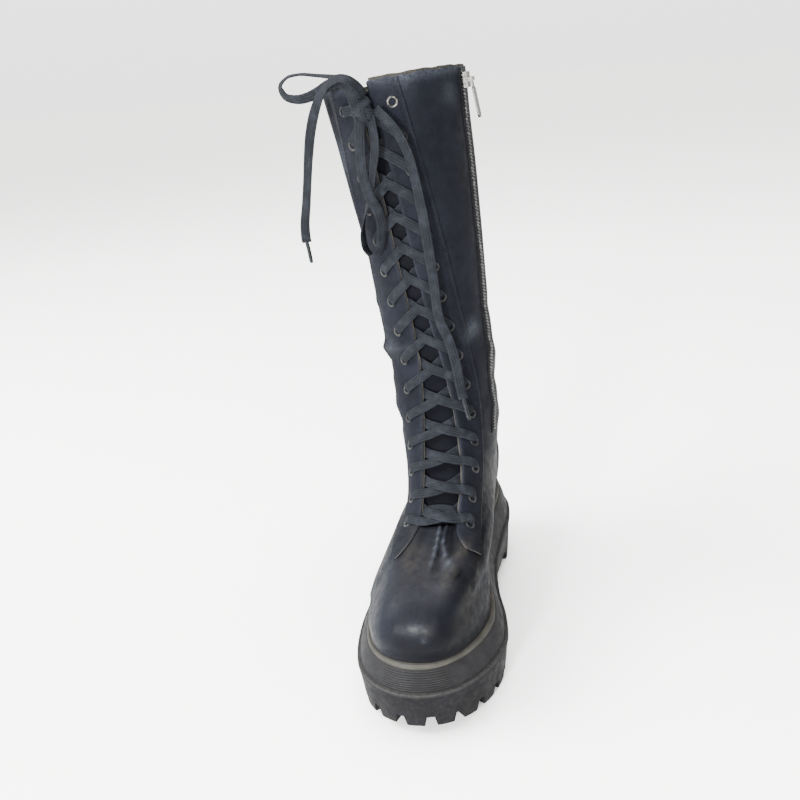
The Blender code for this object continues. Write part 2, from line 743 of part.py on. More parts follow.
def make_facings(parts, material):
    """Eyelet panels on both edges of the throat, each with its pointed tab on the vamp."""
    rows = [row for row in UPPER_ROWS if row >= FACING_TAB[0].row]
    for side in ("medial", "lateral"):
        inner = [SKIN.around(row, facing_inner(row, side)) for row in rows]
        outer = [SKIN.around(row, facing_outer(row, side)) for row in rows]
        if side == "medial":
            low, high = inner, outer
        else:
            low, high = [-place for place in outer], [-place for place in inner]
        panel(f"facing_{side}", rows, low, high, 6, FACING_GAP, OVERLAY, parts, material)


def zip_frame():
    """Frame of the slider's seat: X along the shaft's girth, Y up the zip, Z outwards."""
    row = SKIN.row_at(SKIN.front_height(TOP_ROW) - SLIDER_DROP - SLIDER_SIZE[1] / 2)
    point, normal = SKIN.frame(row, zip_around(row))
    up = Vector(SKIN.at(row + 0.1, zip_around(row + 0.1)) - point).normalized()
    out = Vector(normal).normalized()
    side = up.cross(out).normalized()
    up = out.cross(side)
    seat = Vector(point) + out * (2 * SEAT_GAP + OVERLAY)
    frame = Matrix((side, up, out)).transposed().to_4x4()
    frame.translation = seat
    return frame


def make_zip(parts, cutters, chain_material, metal):
    """Chain up the medial side, a slider at the collar, and the pull that hangs on the slider's pin."""
    rows = [row for row in UPPER_ROWS if row >= ZIP[0].row]
    half = [SKIN.around(row, ZIP_WIDTH / 2) for row in rows]
    low = [zip_around(row) - h for row, h in zip(rows, half)]
    high = [zip_around(row) + h for row, h in zip(rows, half)]
    panel("zip_chain", rows, low, high, 3, SEAT_GAP, OVERLAY, parts, chain_material)

    frame = zip_frame()
    bm = bmesh.new()
    box(bm, SLIDER_SIZE, Matrix.Translation((0, 0, SLIDER_SIZE[2] / 2)))
    slider = new_object("zip_slider", mesh_of("zip_slider", bm), parts, metal)
    slider.matrix_world = frame
    pin_z = SLIDER_SIZE[2] + PIN_HEIGHT + SEAT_GAP
    ear_x = EAR_INSIDE + EAR_WIDTH / 2
    ear_height = pin_z + 1.6 * PIN_RADIUS - SLIDER_SIZE[2] / 2
    for side in (-1, 1):
        bm = bmesh.new()
        middle = (side * ear_x, 0, SLIDER_SIZE[2] / 2 + ear_height / 2)
        box(bm, (EAR_WIDTH, 2 * EAR_HALF_LENGTH, ear_height), Matrix.Translation(middle))
        ear = new_cutter(f"slider_ear_{side + 1}", mesh_of("slider_ear", bm), cutters)
        ear.matrix_world = frame
        boolean(slider, ear, "UNION")
    bm = bmesh.new()
    lie = Matrix.Translation((0, 0, pin_z)) @ Matrix.Rotation(math.pi / 2, 4, "Y")
    bmesh.ops.create_cone(
        bm, cap_ends=True, segments=10, radius1=PIN_RADIUS, radius2=PIN_RADIUS, depth=2 * ear_x, matrix=lie
    )
    pin = new_cutter("slider_pin", mesh_of("slider_pin", bm), cutters)
    pin.matrix_world = frame
    boolean(slider, pin, "UNION")

    hinge = frame @ Matrix.Translation((0, 0, pin_z)) @ Matrix.Rotation(-PULL_LEAN, 4, "X")
    bm = bmesh.new()
    outline = [
        (PULL_NECK, -BARREL_BORE - 0.3 * MM),
        (PULL_NECK, -PULL_NECK_LENGTH),
        (PULL_HALF_WIDTH, -PULL_NECK_LENGTH - 2 * MM),
        (PULL_HALF_WIDTH, -PULL_LENGTH + 2 * MM),
        (PULL_HALF_WIDTH - 1.5 * MM, -PULL_LENGTH),
    ]
    outline = outline + [(-x, y) for x, y in reversed(outline)]
    face = bm.faces.new([bm.verts.new((x, y, -PULL_THICKNESS / 2)) for x, y in outline])
    raised = bmesh.ops.extrude_face_region(bm, geom=[face])["geom"]
    lifted = [item for item in raised if isinstance(item, bmesh.types.BMVert)]
    bmesh.ops.translate(bm, verts=lifted, vec=(0, 0, PULL_THICKNESS))
    pull = new_object("zip_pull", mesh_of("zip_pull", bm), parts, metal)
    pull.matrix_world = hinge
    for name, radius, width, operation in (
        ("pull_barrel", BARREL_RADIUS, EAR_INSIDE - SEAT_GAP, "UNION"),
        ("pull_bore", BARREL_BORE, 2 * EAR_INSIDE, "DIFFERENCE"),
    ):
        bm = bmesh.new()
        bmesh.ops.create_cone(
            bm,
            cap_ends=True,
            segments=12,
            radius1=radius,
            radius2=radius,
            depth=2 * width,
            matrix=Matrix.Rotation(math.pi / 2, 4, "Y"),
        )
        tool = new_cutter(name, mesh_of(name, bm), cutters)
        tool.matrix_world = hinge
        boolean(pull, tool, operation)


def eyelet_rows():
    """Rows of the eyelet pairs, at even distances down the front line."""
    rows = np.linspace(EYELET_LOW_ROW, TOP_ROW, 200)
    line = SKIN.at(rows, 0.0)
    length = np.concatenate([[0], np.cumsum(np.linalg.norm(np.diff(line, axis=0), axis=1))])
    top = np.interp(SKIN.row_at(EYELET_TOP_HEIGHT), rows, length)
    return np.interp(np.linspace(top, 0, EYELET_PAIRS), length, rows)


def eyelet_reach(row, side):
    """Distance of an eyelet from the front line."""
    return facing_inner(row, side) + EYELET_FROM_EDGE


def make_eyelets(parts, material):
    """A ring on each facing for each pair."""
    for side, sign in (("medial", 1), ("lateral", -1)):
        for k, row in enumerate(eyelet_rows()):
            point, normal = SKIN.frame(row, SKIN.around(row, sign * eyelet_reach(row, side)))
            seat = Vector(point) + Vector(normal) * (FACING_TOP + EYELET_GAP + EYELET_WIRE)
            bpy.ops.mesh.primitive_torus_add(
                major_segments=8,
                minor_segments=3,
                major_radius=EYELET_RADIUS,
                minor_radius=EYELET_WIRE,
                location=seat,
                rotation=Vector(normal).to_track_quat("Z", "Y").to_euler(),
            )
            ring = bpy.context.object
            ring.name = f"eyelet_{side}_{k + 1:02d}"
            ring.data.materials.append(material)
            for collection in list(ring.users_collection):
                collection.objects.unlink(ring)
            parts.objects.link(ring)


def lace_strip(name, rows, reach, off):
    """Flat lace along a path on the boot, as an open strip."""
    place = SKIN.around(rows, reach)
    path = SKIN.at(rows, place, off)
    _, normal = SKIN.frame(rows, place)
    along = np.gradient(path, axis=0)
    side = np.cross(along, normal)
    side *= LACE_WIDTH / 2 / np.linalg.norm(side, axis=1)[:, None]
    return sheet(name, np.stack([path + side, path - side], 1))


def crossing_path(start_row, end_row, sign, over):
    """Lace from an eyelet, over the throat's edge and across, to the opposite edge one pair higher."""
    start_side, end_side = ("medial", "lateral") if sign > 0 else ("lateral", "medial")
    start = eyelet_reach(start_row, start_side)
    edge = facing_inner(start_row, start_side) - LACE_PAST_EDGE
    end = LACE_TUCK - facing_inner(end_row, end_side)
    on_ring = FACING_TOP + EYELET_GAP + 2 * EYELET_WIRE + LACE_THICKNESS
    on_edge = FACING_TOP + FACING_GAP + LACE_THICKNESS
    middle = (1.9 if over else 1.1) * LACE_THICKNESS
    reach = np.array([start, start - 1.6 * EYELET_RADIUS, edge, 0.5 * (edge + end), end])
    lift = LACE_THICKNESS if start_row < THROAT_ROW else 0.0
    off = np.array([on_ring, on_ring, on_edge, middle + lift, 0.6 * MM + lift])
    rows = start_row + (end_row - start_row) * LACE_CLIMB * (start - reach) / (start - end)
    return rows, sign * reach, off


def make_crossings(parts, cutters, material):
    """Crossed lace between neighbouring pairs, and the straight bar under the lowest pair."""
    rows = eyelet_rows()
    for k in range(EYELET_PAIRS - 1):
        low, high = rows[k + 1], rows[k]
        over = new_object(f"lace_cross_{k:02d}", lace_strip("over", *crossing_path(low, high, 1, True)), parts, material)
        solidify(over, LACE_THICKNESS, 0)
        under = new_cutter(f"lace_under_{k:02d}", lace_strip("under", *crossing_path(low, high, -1, False)), cutters)
        solidify(under, LACE_THICKNESS, 0)
        boolean(over, under, "UNION")
    bar_row = THROAT_ROW + 0.45
    middle = float(throat_at(bar_row, "middle"))
    half = float(throat_at(bar_row, "half_gap")) - 3.2 * MM
    reach = middle + half * np.linspace(-1, 1, 6)
    bar = lace_strip("lace_bar", np.full(6, bar_row), reach, np.full(6, -LACE_THICKNESS / 3))
    solidify(new_object("lace_bar", bar, parts, material), LACE_THICKNESS, 0)


def on_boot(table):
    """Route of a free lace on the boot."""
    return np.array([SKIN.across(p.row, p.reach * MM, p.off * MM) for p in table])


def in_air(table):
    """Route of a free lace beside the boot."""
    return np.array(table) * MM


def even_route(points, step):
    """Points at even distances on a smooth curve through a route."""
    length = np.concatenate([[0], np.cumsum(np.linalg.norm(np.diff(points, axis=0), axis=1))])
    fine = np.linspace(0, length[-1], 400)
    curve = np.stack([smooth(fine, length, points[:, k]) for k in range(3)], 1)
    run = np.concatenate([[0], np.cumsum(np.linalg.norm(np.diff(curve, axis=0), axis=1))])
    places = np.linspace(0, run[-1], max(2, round(run[-1] / step) + 1))
    return np.stack([np.interp(places, run, curve[:, k]) for k in range(3)], 1)


def tube(name, points, sizes, collection, material):
    """Round cord along points, with its share of the lace's radius at each point."""
    curve = bpy.data.curves.new(name, "CURVE")
    curve.dimensions = "3D"
    curve.bevel_depth = CORD_RADIUS
    curve.bevel_resolution = 2
    curve.use_fill_caps = True
    spline = curve.splines.new("POLY")
    spline.points.add(len(points) - 1)
    for target, point, size in zip(spline.points, points, sizes):
        target.co = (*point, 1.0)
        target.radius = size
    obj = bpy.data.objects.new(name, curve)
    collection.objects.link(obj)
    curve.materials.append(material)
    return obj


def as_mesh(obj, collection):
    """The same tube as a welded mesh object that only joins."""
    bpy.context.view_layer.update()
    mesh = bpy.data.meshes.new_from_object(obj.evaluated_get(bpy.context.evaluated_depsgraph_get()))
    bm = bmesh.new()
    bm.from_mesh(mesh)
    bmesh.ops.remove_doubles(bm, verts=bm.verts, dist=0.01 * MM)
    bm.to_mesh(mesh)
    bm.free()
    name = obj.name
    place = obj.matrix_world.copy()
    bpy.data.objects.remove(obj)
    joined = new_cutter(name, mesh, collection)
    joined.matrix_world = place
    return joined


def make_bow(parts, cutters, material):
    """Knot with its two loops, and the two free ends with their aglets."""
    row, reach, off = KNOT_PLACE
    centre = SKIN.across(row, reach * MM, off * MM)
    bm = bmesh.new()
    bmesh.ops.create_uvsphere(bm, u_segments=10, v_segments=6, radius=1.0)
    for vert in bm.verts:
        vert.co = Vector([c * s for c, s in zip(vert.co, KNOT_SIZE)]) + Vector(centre)
    bow = new_object("lace_bow", mesh_of("lace_bow", bm), parts, material)
    for name, route in (("loop_down", on_boot(LOOP_DOWN)), ("loop_side", in_air(LOOP_SIDE))):
        points = even_route(route, CORD_STEP)
        loop = tube(name, points, np.ones(len(points)), cutters, material)
        boolean(bow, as_mesh(loop, cutters), "UNION")
    for name, route in (("down", on_boot(END_DOWN)), ("side", in_air(END_SIDE))):
        fine = even_route(route, MM)
        stop = len(fine) - round(AGLET_LENGTH / MM)
        cord = even_route(fine[:stop], CORD_STEP)
        aglet = even_route(fine[stop:], AGLET_LENGTH / 2)
        sizes = [1.0] * len(cord) + [AGLET_RADIUS / CORD_RADIUS] * len(aglet)
        tube(f"lace_end_{name}", np.vstack([cord, aglet]), sizes, parts, material)


def main():
    for obj in list(bpy.data.objects):
        bpy.data.objects.remove(obj)
    parts = bpy.data.collections.new("platform_combat_boot")
    cutters = bpy.data.collections.new("cutters")
    for collection in (parts, cutters):
        bpy.context.scene.collection.children.link(collection)
    leather = new_material("black_leather", "26282d", 0.45)
    rubber = new_material("black_rubber", "2f2f31", 0.7)
    lining = new_material("dark_lining", "2a2825", 0.85)
    webbing = new_material("flat_lace", "3f4247", 0.85)
    enamel = new_material("black_enamel", "1c1c1f", 0.35, 0.6)
    steel = new_material("nickelled_steel", "b9b8b2", 0.3, 1.0)
    make_outsole(parts, cutters, rubber)
    make_midsole(parts, rubber)
    make_welt(parts, rubber)
    make_insole(parts, lining)
    make_upper(parts, cutters, leather)
    make_tongue(parts, leather)
    make_facings(parts, leather)
    make_zip(parts, cutters, webbing, steel)
    make_eyelets(parts, enamel)
    make_crossings(parts, cutters, webbing)
    make_bow(parts, cutters, webbing)



if __name__ == "__main__":
    main()
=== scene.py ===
"""Looks of a tall lace-up platform combat boot for the right foot, laid out as a Blender add-on.

Metres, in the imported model's frame: toe towards -Y, inner (medial) side towards +X, floor at Z = 0.
"""

import math
from collections import namedtuple
from contextlib import contextmanager

import bmesh
import bpy
import numpy as np
from mathutils import Matrix, Vector


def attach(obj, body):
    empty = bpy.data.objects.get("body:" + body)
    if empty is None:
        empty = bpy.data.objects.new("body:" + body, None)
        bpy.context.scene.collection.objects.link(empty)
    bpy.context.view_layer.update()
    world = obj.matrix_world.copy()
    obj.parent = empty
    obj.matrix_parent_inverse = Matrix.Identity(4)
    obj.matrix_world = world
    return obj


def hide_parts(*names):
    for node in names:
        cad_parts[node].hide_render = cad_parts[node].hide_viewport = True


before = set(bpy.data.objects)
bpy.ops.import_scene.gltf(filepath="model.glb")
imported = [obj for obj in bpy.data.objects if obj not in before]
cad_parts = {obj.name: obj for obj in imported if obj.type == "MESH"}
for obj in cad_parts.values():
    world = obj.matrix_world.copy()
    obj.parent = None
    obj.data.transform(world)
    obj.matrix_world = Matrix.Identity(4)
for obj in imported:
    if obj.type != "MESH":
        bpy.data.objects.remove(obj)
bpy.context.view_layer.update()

bl_info = {
    "name": "Platform combat boot looks",
    "version": (1, 0, 0),
    "blender": (4, 5, 0),
    "location": "View3D > Sidebar > Boot",
    "description": "Dresses the packed platform combat boot with leather, rubber, lace, zip and stage",
    "category": "Add Mesh",
}

MM = 0.001


def make_table(kind, *rows):
    """List of rows of one kind."""
    return [kind(*row) for row in rows]


# Driving dimensions
SOLE_LENGTH = 298 * MM
HEEL_Y = SOLE_LENGTH / 2
SHIFT_X = 16.395 * MM
SEAT_GAP = 0.3 * MM
WALL = 2.0 * MM
OVERLAY = 1.5 * MM
FACING_GAP = 0.5 * MM
FACING_TOP = FACING_GAP + OVERLAY

# The boot's two sides, with their sign along X
SIGN = {"medial": 1, "lateral": -1}

# Plan of the sole at its widest level: how far each side stands from the foot's axis
Outline = namedtuple("Outline", "from_heel lateral medial")
OUTLINE = make_table(
    Outline,
    (0, 0, 0), (10, 25, 24), (28, 37, 35), (55, 42, 39), (90, 46, 37), (125, 52, 36), (160, 59.5, 41),
    (195, 63.5, 51), (222, 62.5, 54.5), (246, 58.5, 50), (268, 51, 40), (286, 37, 25.5),
    (295, 22, 10.5), (298, 7, -7),
)

# Side view of the sole: underside, ridge between the two tiers, and top
Profile = namedtuple("Profile", "from_heel bottom ridge top")
PROFILE = make_table(
    Profile,
    (0, 4, 46, 70), (12, 0, 45.8, 69.7), (62, 0, 42.8, 66), (66, 11, 42.5, 65.5), (110, 12, 38.6, 58.6),
    (128, 10, 37.2, 56), (133, 0, 36.8, 55.3), (205, 0, 33.5, 50), (238, 0, 33.5, 49.8),
    (270, 3, 35.5, 51.4), (298, 8.5, 38.2, 54),
)
HEEL_BREAST = 64 * MM
TREAD_START = 131 * MM

# Walls of the two tiers: how far each level lies inside the plan
TREAD_INSET = 3.5 * MM
OUTSOLE_SHOULDER = 3.0 * MM
MIDSOLE_FOOT_INSET = 2.5 * MM
MIDSOLE_TOP_INSET = 9.0 * MM
RIBS = 10
RIB_DEPTH = 0.7 * MM
RIB_LATERAL = 22 * MM
RIB_MEDIAL = 30 * MM

# Lugs: notches round the edge and grooves across the tread
NOTCHES = 31
NOTCH_START = 14 * MM
NOTCH_WIDTH = 10.5 * MM
NOTCH_TOP_WIDTH = 5.5 * MM
NOTCH_HEIGHT = 9.0 * MM
NOTCH_BELOW = 3.0 * MM
NOTCH_DEPTH = 14 * MM
GROOVE_WIDTH = 6 * MM
GROOVE_DEPTH = 6 * MM
Groove = namedtuple("Groove", "from_heel half_length")
GROOVES = make_table(Groove, (24, 14), (44, 20), (160, 26), (185, 32), (210, 36), (235, 32))

# Sections of the last, from the feather line up to the collar. Each is a loop from a front point
# to a back point, with half widths at ball, waist and heel, the sideways place of its axis, the
# blunt or round form of its two ends, and the rise of its inner side over its outer side.
Section = namedtuple(
    "Section",
    "front_y front_z back_y back_z front_x mid_x back_x ball waist heel front_round back_round tilt",
)
LAST = make_table(
    Section,
    (-136, 54, 137, 70, -5, -8.5, 0, 45, 31.5, 28.5, 0.45, 0.42, 0.0),
    (-140, 70, 140, 85, -4, -6, 0, 46, 32, 31.5, 0.45, 0.42, 0.0),
    (-136, 85, 141, 98, -3, -2.5, 0, 42.5, 32.5, 33, 0.45, 0.45, 0.0),
    (-126, 97, 141, 108, 0, 1.5, 0, 40.5, 33, 33.5, 0.50, 0.45, 0.0),
    (-110, 105, 140, 115, 1.5, 2.5, 0, 37.5, 33, 33.5, 0.60, 0.50, 0.0),
    (-90, 112, 138, 121, 3, 3, 0, 35, 33, 33, 0.70, 0.55, 0.0),
    (-71, 119, 135, 127, 3, 2.5, 0, 34, 33, 33, 0.75, 0.60, 0.0),
    (-54, 128, 132, 136, 3, 2, 0, 34, 34, 33, 0.80, 0.65, 0.0),
    (-32, 146, 128, 149, 1, 0.5, -1, 36, 36.5, 34, 0.85, 0.70, 0.02),
    (-8, 168, 123, 167, -3, -3, -3, 39, 40, 37, 0.90, 0.80, 0.04),
    (10, 194, 119, 192, -6.5, -6.5, -6.5, 41.5, 42.5, 40, 0.95, 0.90, 0.06),
    (20, 226, 119, 224, -10.5, -10.5, -10.5, 43.5, 44.5, 43, 1.0, 1.0, 0.08),
    (22, 270, 122, 268, -15, -15, -15, 45, 46, 45, 1.0, 1.0, 0.09),
    (20, 320, 127, 318, -19.5, -19.5, -19.5, 47.5, 48.5, 48, 1.0, 1.0, 0.09),
    (16, 376, 131, 374, -26, -26, -26, 51, 52, 51, 1.0, 1.0, 0.10),
    (10, 438, 134, 434, -33.5, -33.5, -33.5, 54.5, 55.5, 55.5, 1.0, 1.0, 0.10),
)
BALL_AT = 0.30
WAIST_AT = 0.58
HEEL_AT = 0.86
SAG_ROWS = 4
FEATHER_ROWS = 2.0
FEATHER_INSET = MIDSOLE_TOP_INSET + 3 * MM
TOP_ROW = len(LAST) - 1

# Throat: its middle, as a distance from the front line, and half of its gap, at each height
Throat = namedtuple("Throat", "height middle half_gap")
THROAT = make_table(
    Throat,
    (118, 1.5, 14.5), (130, 1.5, 15.2), (146, 3, 16), (168, 2.8, 14.1), (212, 1.3, 9.9),
    (260, -1.9, 6.9), (308, -5.2, 6.6), (355, -6.3, 6.3), (438, -9.3, 5.0),
)
THROAT_ROW = 6.5

# Facings: the inner edge of the tab below the throat, and the back seam all the way up
FacingLine = namedtuple("FacingLine", "row medial lateral")
FACING_TAB = make_table(FacingLine, (3.6, 64, 47), (4.2, 44, 36), (5, 30, 25), (6, 18, 16))
FACING_SEAM = make_table(
    FacingLine,
    (3.6, 68, 51), (4.2, 65, 51), (5, 60, 51), (6.5, 53, 51), (8, 47, 50), (10, 39.5, 51), (12, 31, 49),
    (13.75, 23.5, 44), (15, 17.5, 38),
)

# Tongue, insole and welt
TONGUE_THICKNESS = 2.4 * MM
TONGUE_LAP = 15 * MM
TONGUE_ROW = 5
LINING_GAP = 0.5 * MM
WELT_HEIGHT = 3.0 * MM
WELT_EDGE = 0.6 * MM

# Zip on the medial side: its place around the shaft at each row
ZipLine = namedtuple("ZipLine", "row around")
ZIP = make_table(ZipLine, (8.5, 0.205), (11.5, 0.215), (13.75, 0.226), (15, 0.226))
ZIP_WIDTH = 7 * MM

# Eyelets, counted from the top pair down
EYELET_PAIRS = 15
EYELET_TOP_HEIGHT = 421 * MM
EYELET_LOW_ROW = 5.95
EYELET_FROM_EDGE = 14 * MM

# Lace
AGLET_RADIUS = 1.6 * MM
AGLET_LENGTH = 19 * MM
KNOT_PLACE = (14.71, -8, 7.9)

# Free lace on the boot, as row, reach from the front line and distance off the leather
OnBoot = namedtuple("OnBoot", "row reach off")
LOOP_DOWN = make_table(
    OnBoot,
    (14.66, -4.5, 8), (14.33, -5, 10.2), (14.05, -10, 9.8), (13.75, -16, 9.8), (13.45, -25, 9.8),
    (13.2, -31, 9.8), (13.0, -31, 9.8), (12.9, -25, 9.8), (13.0, -18.5, 9.8), (13.2, -14, 10.2),
    (13.48, -12, 11), (13.75, -14, 14.5), (14.08, -15, 14.5), (14.4, -12, 14.5), (14.66, -11, 9),
)
END_DOWN = make_table(
    OnBoot,
    (14.7, -0.1, 9.0), (14.5, 7.5, 10), (14.17, 13, 9.8), (13.83, 14, 9.8), (13.5, 14, 9.8),
    (13.0, 13.5, 9.8), (12.42, 13, 9.8), (11.75, 12.8, 9.8), (11.33, 16.5, 9.8), (10.83, 18.4, 9.8),
    (10.33, 19, 9.8), (9.83, 20.6, 9.8), (9.35, 23, 9.8),
)

# Free lace beside the boot
InAir = namedtuple("InAir", "x y z")
LOOP_SIDE = make_table(
    InAir,
    (-25, 6, 423.5), (-29, 6, 433), (-37, 8.5, 440), (-47.8, 13, 442), (-60, 16.5, 443.8),
    (-74.6, 20, 445.4), (-85.4, 23, 443.4), (-91.1, 25, 438), (-88.7, 25, 431.8), (-80.7, 23, 428.8),
    (-68.8, 19, 429.5), (-58, 14, 432.8), (-48.4, 8, 436.5), (-38, 3.5, 438.5), (-31.5, 0.5, 433),
    (-29.5, 1.5, 424), (-28, 3.5, 415),
)
END_SIDE = make_table(
    InAir,
    (-22.5, 2.2, 427.2), (-24.5, -3.5, 433.5), (-30, -6.5, 438.8), (-36, -5, 440.4), (-44, -1, 438.4),
    (-53, 6, 432.7), (-62.5, 14, 421), (-70, 20, 406), (-75.6, 25, 389.4), (-80.4, 29, 370.5),
    (-85, 32, 351), (-89, 34, 334), (-89.8, 35, 325), (-89, 36, 314.7), (-88.4, 37, 304.3),
)

# Mesh fineness
SOLE_STATIONS = 120
STATION_SPACE = 1.2 * MM
LATTICE_ROWS = 181
LATTICE_COLUMNS = 240
ROW_RISE = 60 * MM


def smooth(x, xs, ys):
    """Cubic curve through the rows (xs, ys), with the mean slope of its neighbours at each row."""
    x = np.asarray(x, float)
    xs = np.asarray(xs, float)
    ys = np.asarray(ys, float)
    step = np.diff(xs)
    rise = np.diff(ys) / step
    mean = (rise[:-1] * step[1:] + rise[1:] * step[:-1]) / (step[1:] + step[:-1])
    slope = np.concatenate([rise[:1], mean, rise[-1:]])
    i = np.clip(np.searchsorted(xs, x, side="right") - 1, 0, len(xs) - 2)
    f = (x - xs[i]) / step[i]
    start = (1 + 2 * f) * (1 - f) ** 2 * ys[i] + f * (1 - f) ** 2 * step[i] * slope[i]
    end = f * f * (3 - 2 * f) * ys[i + 1] + f * f * (f - 1) * step[i] * slope[i + 1]
    return start + end


def run_along(points):
    """Distance along a line of points, from its first one."""
    return np.concatenate([[0], np.cumsum(np.linalg.norm(np.diff(points, axis=0), axis=1))])


def column(table, name):
    """One column of a table in millimetres, as metres."""
    return np.array([getattr(row, name) for row in table]) * MM


def rows_of(table):
    """The row column of a table, which counts sections of the last."""
    return [line.row for line in table]


def round_ends(from_heel):
    """Turns a distance along the sole into an angle, so that widths drawn over it close in round ends."""
    return np.arccos(1 - 2 * np.clip(np.asarray(from_heel) / SOLE_LENGTH, 0, 1))


def sole_height(from_heel, level):
    """Height of the underside, ridge or top of the sole at a distance from the heel's back."""
    places = column(PROFILE, "from_heel")
    if level == "bottom":
        return np.interp(from_heel, places, column(PROFILE, level))
    return smooth(from_heel, places, column(PROFILE, level))


def sole_stations():
    """Distances from the heel's back, close together at both ends and at the steps of the underside."""
    even = (1 - np.cos(np.linspace(0, math.pi, SOLE_STATIONS))) / 2 * SOLE_LENGTH
    places = column(PROFILE, "from_heel")
    steps = places[(places > HEEL_BREAST - STATION_SPACE) & (places < TREAD_START + STATION_SPACE)]
    apart = [place for place in even if np.abs(place - steps).min() > STATION_SPACE]
    return np.sort(np.concatenate([apart, steps]))


def sole_plan(inset):
    """Points round the sole, heel, lateral side, toe, medial side, with their outward directions."""
    stations = sole_stations()
    turn = round_ends(stations)
    rows = round_ends(column(OUTLINE, "from_heel"))
    lateral = np.stack([-smooth(turn, rows, column(OUTLINE, "lateral")), HEEL_Y - stations], 1)
    medial = np.stack([smooth(turn, rows, column(OUTLINE, "medial")), HEEL_Y - stations], 1)
    edge = np.concatenate([lateral, medial[-2:0:-1]])
    step = np.roll(edge, -1, 0) - np.roll(edge, 1, 0)
    outward = np.stack([step[:, 1], -step[:, 0]], 1)
    outward /= np.linalg.norm(outward, axis=1)[:, None]
    return edge - inset * outward, outward


def sole_edge(inset):
    """The sole's plan in its place in the part."""
    edge, outward = sole_plan(inset)
    return edge + np.array([SHIFT_X, 0]), outward


def sole_ring(inset, level, rise=0.0):
    """The plan at an inset, raised to a level of the sole."""
    edge, _ = sole_edge(inset)
    return np.column_stack([edge, sole_height(HEEL_Y - edge[:, 1], level) + rise])


